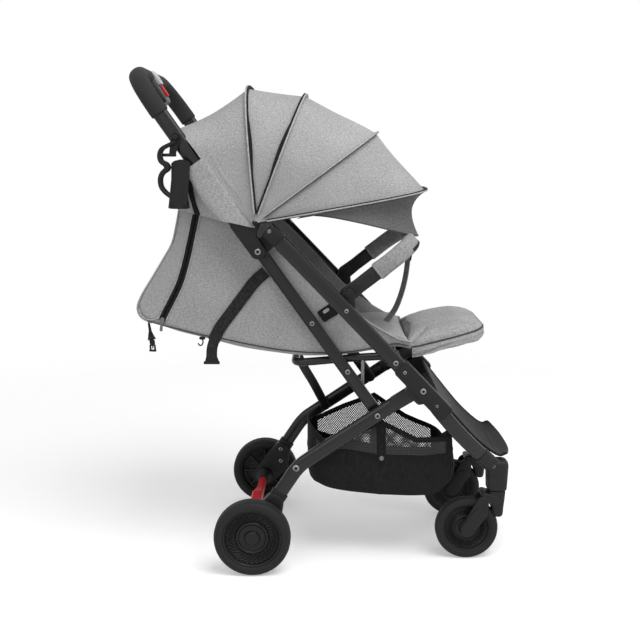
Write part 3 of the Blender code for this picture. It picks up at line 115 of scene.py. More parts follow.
class Finish:
    """A named material whose nodes are added by calls of node().
    The slot argument is not used."""

    def __init__(self, name, slot=None):
        self.material = bpy.data.materials.new(name)
        self.material.use_nodes = True
        self.tree = self.material.node_tree
        self.tree.nodes.clear()

    def node(self, kind, settings=None, values=None, output=0):
        """Adds a node: settings are its own properties, values its sockets by name or number."""
        made = self.tree.nodes.new(kind)
        for name, value in (settings or {}).items():
            setattr(made, name, value)
        for name, value in (values or {}).items():
            place = made.inputs[name]
            if isinstance(value, Socket):
                self.tree.links.new(value.output, place)
            elif place.type == "RGBA" and len(value) == 3:
                place.default_value = (*value, 1.0)
            else:
                place.default_value = value
        return Socket(self, made.outputs[output] if made.outputs else None)

    def place(self):
        return self.node("ShaderNodeTexCoord", output="Object")

    def cloth_place(self):
        """The piece's own UV map, in metres along its two directions."""
        return self.node("ShaderNodeTexCoord", output="UV")

    def parts(self, vector):
        """The three numbers of a vector, each as a socket."""
        split = self.node("ShaderNodeSeparateXYZ", values={0: vector}).output.node
        return [Socket(self, output) for output in split.outputs]

    def noise(self, scale, detail=2.0, roughness=0.5, vector=None, stretch=None):
        vector = vector or self.place()
        if stretch:
            vector = self.node("ShaderNodeMapping", values={"Vector": vector, "Scale": stretch})
        return self.node("ShaderNodeTexNoise", values={"Vector": vector, "Scale": scale,
            "Detail": detail, "Roughness": roughness})

    def colour(self, share, dark, light):
        return self.node("ShaderNodeMix", {"data_type": "RGBA"}, {0: share, 6: dark, 7: light}, 2)

    def shades(self, share, colour, low, high):
        """One colour, from low times itself where the share is 0 to high times itself at 1."""
        return self.colour(share, tuple(low * c for c in colour), tuple(high * c for c in colour))

    def bump(self, height, distance, strength):
        return self.node("ShaderNodeBump", values={"Height": height, "Distance": distance,
            "Strength": strength})

    def shader(self, **values):
        """The Principled shader: its sockets are named with _ for a space."""
        named = {name.replace("_", " "): value for name, value in values.items()}
        return self.node("ShaderNodeBsdfPrincipled", values=named)

    def finished(self, shader):
        self.node("ShaderNodeOutputMaterial", values={"Surface": shader})
        return self.material


def seen_directly(tree):
    """1 for a ray of the camera, or one that metal or glass sends on, and 0 for light."""
    path = tree.node("ShaderNodeLightPath").output.node
    camera, glossy, clear = (Socket(tree, path.outputs["Is " + name + " Ray"]) for name
        in ("Camera", "Glossy", "Transmission"))
    return camera.most(glossy).most(clear)


def stand(name, data):
    """Puts a mesh, a lamp or a camera into the scene under a name."""
    thing = bpy.data.objects.new(name, data)
    bpy.context.collection.objects.link(thing)
    return thing


def looking(way):
    """The turn of a lamp or camera that looks in a direction."""
    return Vector(way).to_track_quat("-Z", "Y").to_euler()


PAPER_HALF = 2.2
PAPER_SHARP = 0.9


def paper_finish():
    """White paper that takes the shadow. Looked at directly it is lifted a little, to pure white,
    and far from the stroller it fades into the white room."""
    paper = Finish("studio_paper")
    plain = paper.shader(Base_Color=(0.8, 0.8, 0.8), Roughness=0.9)
    glow = paper.node("ShaderNodeEmission", values={"Color": (1.0, 1.0, 1.0), "Strength": 0.3})
    lifted = paper.node("ShaderNodeAddShader", values={0: plain, 1: glow})
    sheet = paper.node("ShaderNodeMixShader", values={0: seen_directly(paper), 1: plain, 2: lifted})
    x, y, _ = paper.parts(paper.place())
    far = (x * x + y * y).step(PAPER_SHARP**2, PAPER_HALF**2)
    clear = paper.node("ShaderNodeBsdfTransparent")
    return paper.finished(paper.node("ShaderNodeMixShader", values={0: far, 1: sheet, 2: clear}))


paper_mesh = bpy.data.meshes.new("paper")
paper_mesh.from_pydata([(x * PAPER_HALF, y * PAPER_HALF, 0.0) for x, y
    in ((-1, -1), (1, -1), (1, 1), (-1, 1))], [], [(0, 1, 2, 3)])
paper_mesh.materials.append(paper_finish())
paper = stand("paper", paper_mesh)

room = bpy.data.worlds.new("white_room")
room.use_nodes = True
bpy.context.scene.world = room


class Room(Finish):
    """The world's own nodes, filled in the same way as a finish."""

    def __init__(self, world):
        self.tree = world.node_tree
        self.tree.nodes.clear()


walls = Room(room)
room_light = walls.node("ShaderNodeBackground", values={"Color": (1.0, 1.0, 1.0), "Strength": 0.55})
room_seen = walls.node("ShaderNodeBackground", values={"Color": (1.0, 1.0, 1.0), "Strength": 1.0})
room_mix = walls.node("ShaderNodeMixShader", values={0: seen_directly(walls), 1: room_light,
    2: room_seen})
walls.node("ShaderNodeOutputWorld", values={"Surface": room_mix})

LAMPS = (("overhead_lamp", (0.8, -1.2, 2.9), (0.0, 0.0, 0.4), 2.1, 62.0), ("camera_side_lamp",
    (-1.4, -3.0, 1.8), (0.0, 0.0, 0.5), 1.8, 14.0), ("front_lamp", (3.0, -1.0, 1.7), (0.1, 0.0, 0.5),
    1.2, 14.0))
for name, place, target, size, watts in LAMPS:
    light = bpy.data.lights.new(name, "AREA")
    light.shape = "DISK"
    light.size = size
    light.energy = watts
    lamp = stand(name, light)
    lamp.location = place
    lamp.rotation_euler = looking(Vector(target) - Vector(place))

CAMERA_PLACE = (0.0051, -2.0679, 0.8312)
CAMERA_PITCH = 0.16786
CAMERA_YAW = -0.00726
camera_data = bpy.data.cameras.new("camera")
camera_data.sensor_width = 36.0
camera_data.lens = 54.97
camera = stand("camera", camera_data)
camera.location = CAMERA_PLACE
camera.rotation_euler = looking((math.sin(CAMERA_YAW) * math.cos(CAMERA_PITCH), math.cos(CAMERA_YAW)
    * math.cos(CAMERA_PITCH), -math.sin(CAMERA_PITCH)))
bpy.context.scene.camera = camera
bpy.context.scene.view_settings.view_transform = "Standard"


# Main tubes
# Two oval aluminium tubes, powder coated black, run from the hood's hinge down to the casters
# and bend inwards at their feet. They are drawn, bent and sprayed before anything is fixed.

X_CENTRE = 0.1438
SIDES = (("right", -1.0), ("left", 1.0))
Y_AXIS = np.array((0.0, 1.0, 0.0))
UP = np.array((0.0, 0.0, 1.0))
FORWARD = np.array((1.0, 0.0, 0.0))


def side_line(start, degrees, forward=1.0):
    """Places points along a slanting line of the side view.

    A point is the start, plus station times the line's direction, plus across times the
    direction square to it, plus its own sideways y.
    """
    turn = math.radians(degrees)
    origin = np.array((start[0] - X_CENTRE, 0.0, start[1]))
    direction = np.array((math.cos(turn), 0.0, math.sin(turn)))
    square = np.array((-math.sin(turn), 0.0, math.cos(turn))) * forward

    def place(station, across=0.0, y=0.0):
        station, across, y = (np.asarray(n, float)[..., None] for n in (station, across, y))
        return origin + station * direction + across * square + y * Y_AXIS

    return place


def xyz(x, y, z):
    """Points from three coordinates, of any shapes that fit each other."""
    return np.stack(np.broadcast_arrays(x, y, z), -1)


def world(points):
    """Points of (x, y, z) or (x, z) measured from the rear axle, moved to the shared frame."""
    points = np.array(points, float)
    if points.shape[-1] == 2:
        points = xyz(points[..., 0], 0.0, points[..., 1])
    return points - np.array((X_CENTRE, 0.0, 0.0))


def flowing(points, steps):
    """A Catmull-Rom curve: each stretch is a cubic that leaves and arrives along the line that
    joins the points on either side of its end."""
    points = np.asarray(points, float)
    padded = np.concatenate([[2 * points[0] - points[1]], points, [2 * points[-1] - points[-2]]])
    a, b, c, d = (padded[n:len(padded) - 3 + n, None] for n in range(4))
    t = (np.arange(steps) / steps)[None, :, None]
    curve = 0.5 * (2 * b + (c - a) * t + (2 * a - 5 * b + 4 * c - d) * t**2 + (3 * b - a - 3 * c + d)
        * t**3)
    return np.concatenate([curve.reshape(-1, points.shape[1]), points[-1:]])


def unit(vectors):
    return vectors / np.maximum(np.linalg.norm(vectors, axis=-1, keepdims=True), 1e-12)


def powered(values, power):
    """The size of each value raised to a power, with the value's own sign."""
    return np.sign(values) * np.abs(values) ** power


def section(sides, power):
    """Points (u, v) round a superellipse whose half sizes are 1."""
    turn = 2 * math.pi * (np.arange(sides) + 0.5) / sides
    return powered(np.cos(turn), 2 / power), powered(np.sin(turn), 2 / power)


def mirrored(half):
    """A line that ends in the middle, followed by its mirror image on the other side."""
    return np.concatenate([half, (half * (1.0, -1.0, 1.0))[-2::-1]])


def run_along(points):
    """The length along a line from its first point to each of its points."""
    return np.concatenate([[0.0], np.cumsum(np.linalg.norm(np.diff(points, axis=0), axis=1))])


def grid_shape(points, around=False, capped=False, centred=False):
    """Quads over a grid of points, rows by columns.

    around joins the last column to the first, and capped closes the first and last rows by flat
    faces. The UV of a corner is the length run along its row and down its column, in metres, and
    centred counts the row's length from its middle.
    """
    rows, columns = points.shape[:2]
    across = np.linalg.norm(np.roll(points, -1, axis=1) - points, axis=2)
    down = np.linalg.norm(np.diff(points, axis=0), axis=2)
    u = np.concatenate([np.zeros((rows, 1)), np.cumsum(across, axis=1)], axis=1)
    v = np.concatenate([np.zeros((1, columns)), np.cumsum(down, axis=0)])
    v = np.concatenate([v, v[:, :1]], axis=1)
    if centred:
        u = u - u[:, columns // 2, None]
        v = np.repeat(v[:, columns // 2, None], columns + 1, axis=1)
    uv = np.stack([u, v], -1)
    r, c = np.mgrid[0:rows - 1, 0:columns if around else columns - 1]
    n = (c + 1) % columns
    quads = np.stack([r * columns + c, r * columns + n, (r + 1) * columns + n, (r + 1) * columns + c],
        -1).reshape(-1, 4)
    corners = np.stack([uv[r, c], uv[r, c + 1], uv[r + 1, c + 1], uv[r + 1, c]], -2).reshape(-1, 2)
    flat = points.reshape(-1, 3)
    faces = quads.tolist()
    if around:
        a, b, c_, d = (flat[quads[:, n]] for n in range(4))
        middle = flat.mean(0)
        volume = np.einsum("ij,ij->", a - middle, np.cross(b - middle, c_ - middle))
        volume += np.einsum("ij,ij->", a - middle, np.cross(c_ - middle, d - middle))
        if volume < 0:
            faces = quads[:, ::-1].tolist()
            corners = corners.reshape(-1, 4, 2)[:, ::-1].reshape(-1, 2)
        if capped:
            first = list(range(columns))[::-1]
            last = list(range((rows - 1) * columns, rows * columns))
            if volume < 0:
                first, last = first[::-1], last[::-1]
            faces += [first, last]
            plan = flat[first + last]
            corners = np.concatenate([corners, np.stack([plan[:, 0] + plan[:, 1], plan[:, 2]], -1)])
    return flat, faces, corners


def make_piece(name, shapes, finish, body=None, replaces=(), smooth=35.0, limp=False):
    """Joins closed shapes into one named mesh in its place, welds their seams and poles, and
    lets it ride on a body. A limp piece is given its own copy of its mesh."""
    points, faces, corners = [], [], []
    count = 0
    for flat, shape_faces, shape_corners in shapes:
        points.append(flat)
        faces += [[index + count for index in face] for face in shape_faces]
        corners.append(shape_corners)
        count += len(flat)
    mesh = bpy.data.meshes.new(name)
    mesh.from_pydata(np.concatenate(points).tolist(), [], faces)
    mesh.uv_layers.new(name="cloth").data.foreach_set("uv", np.concatenate(corners).ravel())
    shell = bmesh.new()
    shell.from_mesh(mesh)
    bmesh.ops.remove_doubles(shell, verts=shell.verts, dist=0.000002)
    bmesh.ops.dissolve_degenerate(shell, edges=shell.edges, dist=0.0000005)
    bmesh.ops.recalc_face_normals(shell, faces=shell.faces)
    shell.to_mesh(mesh)
    shell.free()
    mesh.materials.append(finish)
    mesh.shade_smooth()
    mesh.set_sharp_from_angle(angle=math.radians(smooth))
    piece = stand(name, mesh)
    if replaces:
        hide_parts(*replaces)
    if body:
        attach(piece, body)
    if limp:
        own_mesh(piece)
    return piece


def carried(path, half_across, half_depth, depth_axis, sides=32, power=2.0, rounded=0.0, loop=False):
    """A superellipse section carried along a path.

    Each ring stands square to the path. half_depth is measured along depth_axis, and a power
    above 2 makes the section squarer. At rounded ends the rings shrink along a quarter circle.
    Half sizes and the depth axis may be given once or for each point of the path. A loop joins
    its last ring to its first.
    """
    path = np.asarray(path, float)
    half_across = np.broadcast_to(half_across, len(path)).astype(float)
    half_depth = np.broadcast_to(half_depth, len(path)).astype(float)
    axis = np.broadcast_to(np.asarray(depth_axis, float), path.shape)
    along = np.gradient(path, axis=0)
    if loop:
        along = np.roll(path, -1, axis=0) - np.roll(path, 1, axis=0)
    shrink = np.zeros(len(path))
    if rounded:
        turn = np.linspace(math.pi / 2, 0.0, 5)[:, None]
        first, last = unit(path[1] - path[0]), unit(path[-1] - path[-2])
        start = path[0] + first * rounded * (1 - np.sin(turn))
        end = (path[-1] - last * rounded * (1 - np.sin(turn)))[::-1]
        inset = rounded * (1 - np.cos(turn[:, 0]))
        path = np.concatenate([start, path[1:-1], end])
        along = np.concatenate([np.tile(first, (5, 1)), along[1:-1], np.tile(last, (5, 1))])
        shrink = np.concatenate([inset, shrink[1:-1], inset[::-1]])
        source = np.r_[[0] * 5, 1:len(half_across) - 1, [len(half_across) - 1] * 5]
        half_across, half_depth, axis = half_across[source], half_depth[source], axis[source]
    along = unit(along)
    depth = unit(axis - along * (along * axis).sum(1)[:, None])
    across = np.cross(depth, along)
    u, v = section(sides, power)
    points = (path[:, None] + across[:, None] * ((half_across - shrink)[:, None] * u)[..., None]
        + depth[:, None] * ((half_depth - shrink)[:, None] * v)[..., None])
    if loop:
        return grid_shape(np.concatenate([points, points[:1]]), around=True)
    return grid_shape(points, around=True, capped=True)


def powder_coat(name, slot, colour, roughness=0.24):
    """Sprayed and baked powder: even colour, a fine orange-peel skin, and a little dulling."""
    coat = Finish(name, slot)
    cloudy = coat.noise(9.0, 3.0)
    grain = coat.noise(900.0, 1.0)
    skin = coat.noise(260.0, 2.0)
    base = coat.shades(cloudy * 0.6 + grain * 0.25, colour, 0.82, 1.22)
    return coat.finished(coat.shader(Base_Color=base, Roughness=cloudy * 0.14 + (roughness - 0.07),
        Normal=coat.bump(skin + grain * 0.4, 0.00025, 0.35), Specular_IOR_Level=0.32))


frame_black = powder_coat("satin_black_tube", "frame_black", (0.009, 0.009, 0.01))
TUBE_TOP = (0.0391, 0.6873)
on_tube = side_line(TUBE_TOP, -46.25)
TUBE_Y = 0.205
TUBE_HALF = (0.015, 0.0085)
TUBE_BEND = ((0.345, 0.205, 0.3678), (0.376, 0.198, 0.327), (0.406, 0.184, 0.29),
    (0.438, 0.166, 0.2545), (0.464, 0.15, 0.2275))
for side_name, side in SIDES:
    bend = flowing(world(TUBE_BEND) * (1.0, side, 1.0), 10)
    straight = on_tube(np.linspace(-0.006, 0.4, 24), 0.0, side * TUBE_Y)
    make_piece(f"front_tube_{side_name}_sprayed", [carried(np.concatenate([straight, bend]), *TUBE_HALF,
        Y_AXIS, 40, 2.4)], frame_black, "front_frame", [f"front_tube_{side_name}"])


# Leg joints
# Glass-filled nylon sleeves, moulded in black and riveted round the main tubes above the
# basket. Each has a lobe behind the tube that the rear leg turns on.

def slab(circles, low_y, high_y, edge=0.0012, count=80):
    """A plate in the side view. In every direction its outline is the furthest point of any of
    the circles (x, z, radius), and both its faces have edges rounded by a quarter circle."""
    turn = 2 * math.pi * np.arange(count) / count
    aim = np.stack([np.cos(turn), np.sin(turn)], -1)
    circles = np.array(circles, float)
    best = (circles[:, :2] @ aim.T + circles[:, 2:3]).argmax(0)
    low_y, high_y = min(low_y, high_y), max(low_y, high_y)
    bend = np.linspace(0.0, math.pi / 2, 5)
    inset = edge * (1 - np.cos(bend))[::-1]
    rise = edge * (1 - np.sin(bend))[::-1]
    inset = np.concatenate([inset, inset[::-1]])
    y = np.concatenate([low_y + rise, high_y - rise[::-1]])
    plan = circles[best, :2][None] + aim[None] * (circles[best, 2][None] - inset[:, None])[..., None]
    return grid_shape(world(plan) + y[:, None, None] * Y_AXIS, around=True, capped=True)


def spots(line, *places):
    """Circles (x, z, radius) of a slab from (station, across, radius) along a line."""
    return [(line(station, across)[0] + X_CENTRE, line(station, across)[2], radius)
        for station, across, radius in places]


def revolved(profile, centre, axis=Y_AXIS, steps=48, closed=False):
    """A profile of (radius, height) points turned round an axis through a centre."""
    profile = np.array(profile, float)
    if closed:
        profile = np.concatenate([profile, profile[:1]])
    axis = unit(np.asarray(axis, float))
    side = FORWARD if abs(axis[0]) < 0.9 else Y_AXIS
    side = unit(side - axis * (side @ axis))
    front = np.cross(axis, side)
    turn = 2 * math.pi * np.arange(steps) / steps
    ring = side * np.cos(turn)[:, None] + front * np.sin(turn)[:, None]
    points = np.asarray(centre) + profile[:, :1, None] * ring + profile[:, 1:, None] * axis
    return grid_shape(points, around=True)


def softened(corners, radius, steps=5):
    """A run of straight lines whose inner corners are replaced by parabolas that start and end
    a radius away from the corner, or at half the line where it is shorter."""
    corners = np.array(corners, float)
    before, at, after = corners[:-2], corners[1:-1], corners[2:]
    near = np.linalg.norm(before - at, axis=1, keepdims=True)
    far = np.linalg.norm(after - at, axis=1, keepdims=True)
    start = at + (before - at) * np.minimum(radius / near, 0.5)
    end = at + (after - at) * np.minimum(radius / far, 0.5)
    t = np.linspace(0.0, 1.0, steps)[None, :, None]
    arcs = (1 - t) ** 2 * start[:, None] + 2 * t * (1 - t) * at[:, None] + t**2 * end[:, None]
    return np.concatenate([corners[:1], arcs.reshape(-1, corners.shape[1]), corners[-1:]])


def rod(radius, low, high, centre, axis, steps, edge):
    """A round rod from one height along an axis to another, with softened end edges."""
    profile = softened([(0.0, low), (radius, low), (radius, high), (0.0, high)], edge, 3)
    return revolved(profile, centre, axis, steps)


def bolt(x, z, face_y, side, radius=0.0042, height=0.0016):
    """A domed screw head on a face that looks sideways: a low dome with a socket sunk in it."""
    profile = softened([(0.0, -height * 0.2), (radius * 0.46, -height * 0.2), (radius * 0.5, height),
        (radius * 0.7, height * 0.95), (radius, height * 0.45), (radius, -0.001), (0.0, -0.001)],
        radius * 0.12, 3)
    return revolved(profile, (x - X_CENTRE, face_y, z), Y_AXIS * side, 18)


def moulded_plastic(name, colour, roughness=0.5, grain=0.5, slot="black_plastic"):
    """Injection moulded plastic: a spark-eroded grain, a touch of chalkiness, and faint flow."""
    plastic = Finish(name, slot)
    spark = plastic.noise(1400.0, 2.0, 0.6)
    flow = plastic.noise(14.0, 3.0, stretch=(1.0, 1.0, 3.0))
    base = plastic.shades(flow * 0.7 + spark * 0.3 - 0.1, colour, 0.78, 1.25)
    return plastic.finished(plastic.shader(Base_Color=base, Roughness=flow * 0.16 + (roughness - 0.08),
        Normal=plastic.bump(spark, 0.00022, grain), Specular_IOR_Level=0.2))


def plated_steel(name, slot, colour, roughness):
    """Zinc plate on steel: bright, with fine turning marks and a cloudy passivated skin."""
    steel = Finish(name, slot)
    cloudy = steel.noise(160.0, 2.0)
    marks = steel.noise(800.0, 1.0, stretch=(1.0, 12.0, 1.0))
    return steel.finished(steel.shader(Base_Color=steel.shades(cloudy, colour, 0.8, 1.0), Metallic=1.0,
        Roughness=cloudy * 0.2 + (roughness - 0.1), Normal=steel.bump(marks, 0.0001, 0.3)))


joint_plastic = moulded_plastic("joint_plastic", (0.012, 0.012, 0.013))
dark_bolt = plated_steel("dark_bolt", "black_plastic", (0.16, 0.16, 0.165), 0.34)
zinc = plated_steel("zinc", "zinc_steel", (0.26, 0.26, 0.27), 0.34)
LEG_JOINT = (0.33645, 0.37668)
for side_name, side in SIDES:
    inner = side * 0.1884
    outer = side * 0.2165
    sleeve = slab(spots(on_tube, (0.371, -0.01, 0.0072), (0.371, 0.01, 0.0072), (0.493, -0.01, 0.0072),
        (0.493, 0.01, 0.0072)), inner, outer, 0.003)
    lobe = slab(spots(on_tube, (0.413, -0.0195, 0.0078), (0.44, -0.019, 0.0078), (0.408, -0.008, 0.008),
        (0.447, -0.008, 0.008)), inner, side * 0.214, 0.0025)
    rib = slab(spots(on_tube, (0.378, 0.0, 0.0105), (0.486, 0.0, 0.0105)), side * 0.215, side * 0.2173,
        0.001)
    make_piece(f"leg_joint_{side_name}_moulding", [sleeve, lobe, rib], joint_plastic, "front_frame",
        [f"leg_joint_{side_name}"])
    heads = [bolt(x, z, side * y, side, radius) for x, z, y, radius
        in ((0.2826, 0.4318, 0.2134, 0.0052), (0.1864, 0.534, 0.2134, 0.0042),
        (0.3002, 0.414, 0.2171, 0.0036), (*LEG_JOINT, 0.2171, 0.0058), (0.364, 0.347, 0.216, 0.0036))]
    make_piece(f"frame_rivets_{side_name}", heads, zinc, "front_frame")


# Caster housings
# Tall nylon blocks plugged into the feet of the main tubes. The caster's steel spindle turns in
# a bush inside each, and a parting line runs round above its foot.

housing_plastic = moulded_plastic("housing_plastic", (0.014, 0.014, 0.015), 0.48)
FRONT_Y = 0.1255
SWIVEL_X = 0.4975
HOUSING_RINGS = ((0.148, 0.4832, 0.5182, 0.0175), (0.1492, 0.4812, 0.52, 0.019),
    (0.153, 0.479, 0.5208, 0.0196), (0.18, 0.4779, 0.522, 0.0204), (0.1808, 0.4784, 0.5215, 0.02),
    (0.1816, 0.4778, 0.5221, 0.0205), (0.2, 0.4768, 0.5228, 0.0209), (0.207, 0.4785, 0.5216, 0.0201),
    (0.21, 0.482, 0.5192, 0.0184), (0.2115, 0.486, 0.516, 0.016))


def stacked(rings, y, power=4.0, sides=48):
    """Level superellipse rings (z, low x, high x, half y) one above the other, as a block."""
    rings = np.array(rings, float)
    u, v = section(sides, power)
    z, low, high, half = rings.T
    x = ((low + high) / 2 - X_CENTRE)[:, None] + ((high - low) / 2)[:, None] * u
    return grid_shape(xyz(x, y + half[:, None] * v, z[:, None]), around=True, capped=True)


for side_name, side in SIDES:
    tip = world(TUBE_BEND[-1]) * (1.0, side, 1.0)
    along = unit(tip - world(TUBE_BEND[-2]) * (1.0, side, 1.0))
    neck_path = flowing([tip - along * 0.004, tip + along * 0.01, world((0.4915, side * 0.133, 0.199))],
        8)
    neck = carried(neck_path, 0.0168, 0.0108, Y_AXIS, 36, 2.6, 0.002)
    make_piece(f"caster_housing_{side_name}_moulding", [stacked(HOUSING_RINGS, side * FRONT_Y), neck],
        housing_plastic, "front_frame", [f"caster_housing_{side_name}"])
    heads = [bolt(0.49, 0.202, side * (FRONT_Y + 0.0198), side, 0.004)]
    make_piece(f"housing_screw_{side_name}", heads, dark_bolt, "front_frame")


# Footrest
# One scooped dark grey moulding clipped between the main tubes, with a rolled lip across its
# front and a raised bead along both side edges.

footrest_plastic = moulded_plastic("footrest_plastic", (0.009, 0.009, 0.01), 0.62, 0.35, "grey_plastic")
FOOTREST_EDGE = flowing(world(((0.372, 0.186, 0.356), (0.412, 0.164, 0.306), (0.452, 0.14, 0.26),
    (0.487, 0.125, 0.229), (0.506, 0.122, 0.2185), (0.519, 0.122, 0.2225))), 12)


def beside(line, axis):
    """Unit vectors square to a line and to an axis."""
    return unit(np.cross(np.gradient(line, axis=0), axis))


def grid_normal(points):
    """Unit vectors square to a grid of points."""
    return unit(np.cross(np.gradient(points, axis=1), np.gradient(points, axis=0)))


def thick_sheet(points, thickness):
    """A sheet of even thickness over a grid of points: each of its two faces lies half the
    thickness from the grid, along the grid's normal, and a rim closes them."""
    rows, columns = points.shape[:2]
    normal = grid_normal(points)
    top = points + normal * (thickness / 2)
    under = points - normal * (thickness / 2)
    upper = grid_shape(top, centred=True)
    lower = grid_shape(under, centred=True)
    count = rows * columns
    index = np.arange(count).reshape(rows, columns)
    border = np.concatenate([index[0, :-1], index[:-1, -1], index[-1, :0:-1], index[:0:-1, 0]])
    following = np.roll(border, -1)
    rim = np.stack([border, border + count, following + count, following], -1)
    rim_uv = np.zeros((len(rim) * 4, 2))
    flip = [face[::-1] for face in upper[1]]
    flip_uv = upper[2].reshape(-1, 4, 2)[:, ::-1].reshape(-1, 2)
    lower_faces = [[corner + count for corner in face] for face in lower[1]]
    return (np.concatenate([top.reshape(-1, 3), under.reshape(-1, 3)]), flip + lower_faces
        + rim[:, ::-1].tolist(), np.concatenate([flip_uv, lower[2], rim_uv]))


slope = np.gradient(FOOTREST_EDGE, axis=0)
slope[:, 1] = 0.0
down = unit(np.cross(slope, Y_AXIS))
down = down * np.sign(-down[len(down) // 2, 2])
share = np.linspace(0.0, 1.0, len(FOOTREST_EDGE))[:, None]
u = np.linspace(-1.0, 1.0, 65)[None, :]
crown = 1 - np.abs(u) ** 2.4
nose = crown * 0.013 * share**5
dip = 0.013 * (1 - u**2) * np.sin(math.pi * np.minimum(share * 1.03, 1.0)) + 0.004 * crown * share**4
scoop = xyz(FOOTREST_EDGE[:, 0, None] + nose, FOOTREST_EDGE[:, 1, None] * u, FOOTREST_EDGE[:, 2, None]
    - 0.35 * nose) + down[:, None] * dip[..., None]
rim = np.concatenate([scoop[:, 0], scoop[-1, 1:-1], scoop[::-1, -1]])
rim = flowing(rim[::3], 3) + UP * 0.0012
ledge = scoop[-14:-3, 6:-6] - down[-14:-3, None] * 0.0012 * crown[:, 6:-6, None]
make_piece("footrest_moulding", [thick_sheet(scoop, 0.004), carried(rim, 0.0034, 0.0028, UP, 18, 2.0),
    thick_sheet(ledge, 0.003)], footrest_plastic, "front_frame", ["footrest"])


# Rear legs
# Two oval tubes on the pins of the leg joints, bent down near their feet. The folding links are
# pinned to their inner faces, and a zinc plated bolt crosses each bend.

LEG_BOLT = (0.0871, 0.211)
LEG_SLOPE = 34.0
on_leg = side_line(LEG_BOLT, LEG_SLOPE)
LEG_Y = 0.18
LEG_BEND = ((0.14, 0.2467), (0.114, 0.2291), (0.099, 0.218), (0.086, 0.204), (0.074, 0.187),
    (0.036, 0.129))
LEG_LENGTH = (LEG_JOINT[0] - LEG_BOLT[0]) / math.cos(math.radians(LEG_SLOPE))
LINK_PIVOT = (0.2494, 0.3198)
for side_name, side in SIDES:
    bend = flowing(world(LEG_BEND), 8) + side * LEG_Y * Y_AXIS
    straight = on_leg(np.linspace(LEG_LENGTH - 0.03, 0.075, 14), 0.0, side * LEG_Y)
    tube = carried(np.concatenate([straight, bend]), 0.0145, 0.008, Y_AXIS, 40, 2.4)
    knuckle = slab([(*LEG_JOINT, 0.015), *spots(on_leg, (LEG_LENGTH - 0.06, 0.0, 0.0142))],
        side * (LEG_Y - 0.0082), side * (LEG_Y + 0.0081), 0.002)
    pin = rod(0.0075, -0.004, 0.0045, world(LINK_PIVOT) + side * (LEG_Y + 0.005) * Y_AXIS,
        Y_AXIS * side, 24, 0.001)
    make_piece(f"rear_leg_{side_name}_sprayed", [tube, knuckle, pin], frame_black, "rear_frame",
        [f"rear_leg_{side_name}"])
    heads = [bolt(*LEG_BOLT, side * (LEG_Y + 0.0072), side, 0.007, 0.0028), bolt(*LINK_PIVOT,
        side * (LEG_Y + 0.0094), side, 0.0058, 0.002)]
    make_piece(f"leg_bolts_{side_name}", heads, zinc, "rear_frame")


# Wheel brackets
# Two-part nylon feet screwed round the ends of the rear legs. Each holds the axle rod and has a
# collar on its inner side that the brake bar turns against.

bracket_plastic = moulded_plastic("bracket_plastic", (0.008, 0.008, 0.009), 0.52)
REAR_AXLE = (0.0, 0.077)
for side_name, side in SIDES:
    shell = slab([(*REAR_AXLE, 0.024), (0.04, 0.098, 0.016), (0.043, 0.139, 0.019),
        (0.02, 0.118, 0.016)], side * 0.168, side * 0.1915, 0.0035, 96)
    collar_band = slab([(0.04, 0.098, 0.013), (0.043, 0.139, 0.016), (0.02, 0.118, 0.012)],
        side * 0.1664, side * 0.193, 0.002, 72)
    mouth = carried([world((0.048, side * LEG_Y, 0.1473)), world((0.056, side * LEG_Y, 0.1595))],
        0.0172, 0.0108, Y_AXIS, 36, 2.6, 0.0015)
    collar = revolved(softened([(0.0, 0.0), (0.0205, 0.0), (0.0195, 0.006), (0.012, 0.024),
        (0.0105, 0.033), (0.0, 0.033)], 0.0025, 4), world(REAR_AXLE) + side * (LEG_Y - 0.011) * Y_AXIS,
        Y_AXIS * -side, 40)
    make_piece(f"wheel_bracket_{side_name}_moulding", [shell, collar_band, mouth, collar],
        bracket_plastic, "rear_frame", [f"wheel_bracket_{side_name}"])
    heads = [bolt(x, z, side * 0.1666, -side, 0.0048, 0.0018) for x, z
        in ((0.0395, 0.142), (0.0395, 0.113))]
    make_piece(f"bracket_screws_{side_name}", heads, zinc, "rear_frame")
axle_rod = rod(0.0045, -0.222, 0.222, world(REAR_AXLE), Y_AXIS, 32, 0.0008)
make_piece("rear_axle_rod", [axle_rod], zinc, "rear_frame", ["rear_axle"])


# Brake bar
# A red nylon bar on the axle rod: a broad ribbed tread in the middle for the foot, and round
# arms that reach out to both brackets.

brake_red = moulded_plastic("brake_red", (0.5, 0.016, 0.022), 0.33, 0.2, "signal_red")
BAR_RINGS = ((0.135, 0.0068, 0.0068), (0.131, 0.0078, 0.0076), (0.1, 0.0085, 0.008),
    (0.064, 0.0095, 0.0092), (0.056, 0.0105, 0.0095), (0.042, 0.0125, 0.0092), (0.035, 0.013, 0.009),
    (0.0, 0.013, 0.009))
half_bar = flowing(BAR_RINGS, 4)
bar = np.concatenate([half_bar * (-1.0, 1.0, 1.0), half_bar[-2::-1]])
centre_line = xyz(0.0068 - bar[:, 1] - X_CENTRE, bar[:, 0], REAR_AXLE[1])
bar_body = carried(centre_line, bar[:, 1], bar[:, 2], UP, 40, 2.6)
tread_ribs = [carried([(-0.016 - X_CENTRE, y, 0.0862), (0.003 - X_CENTRE, y, 0.0862)], 0.0012, 0.0012,
    UP, 10, 2.0, 0.0011) for y in np.linspace(-0.03, 0.03, 9)]
make_piece("brake_bar", [bar_body, *tread_ribs], brake_red, "brake", ["brake_pedal"])


# Rear wheels
# Nylon wheels with a foamed rubber tyre. The outer face is a dish with swirling fins
# round a raised ring, and a cap snapped over the axle's end.

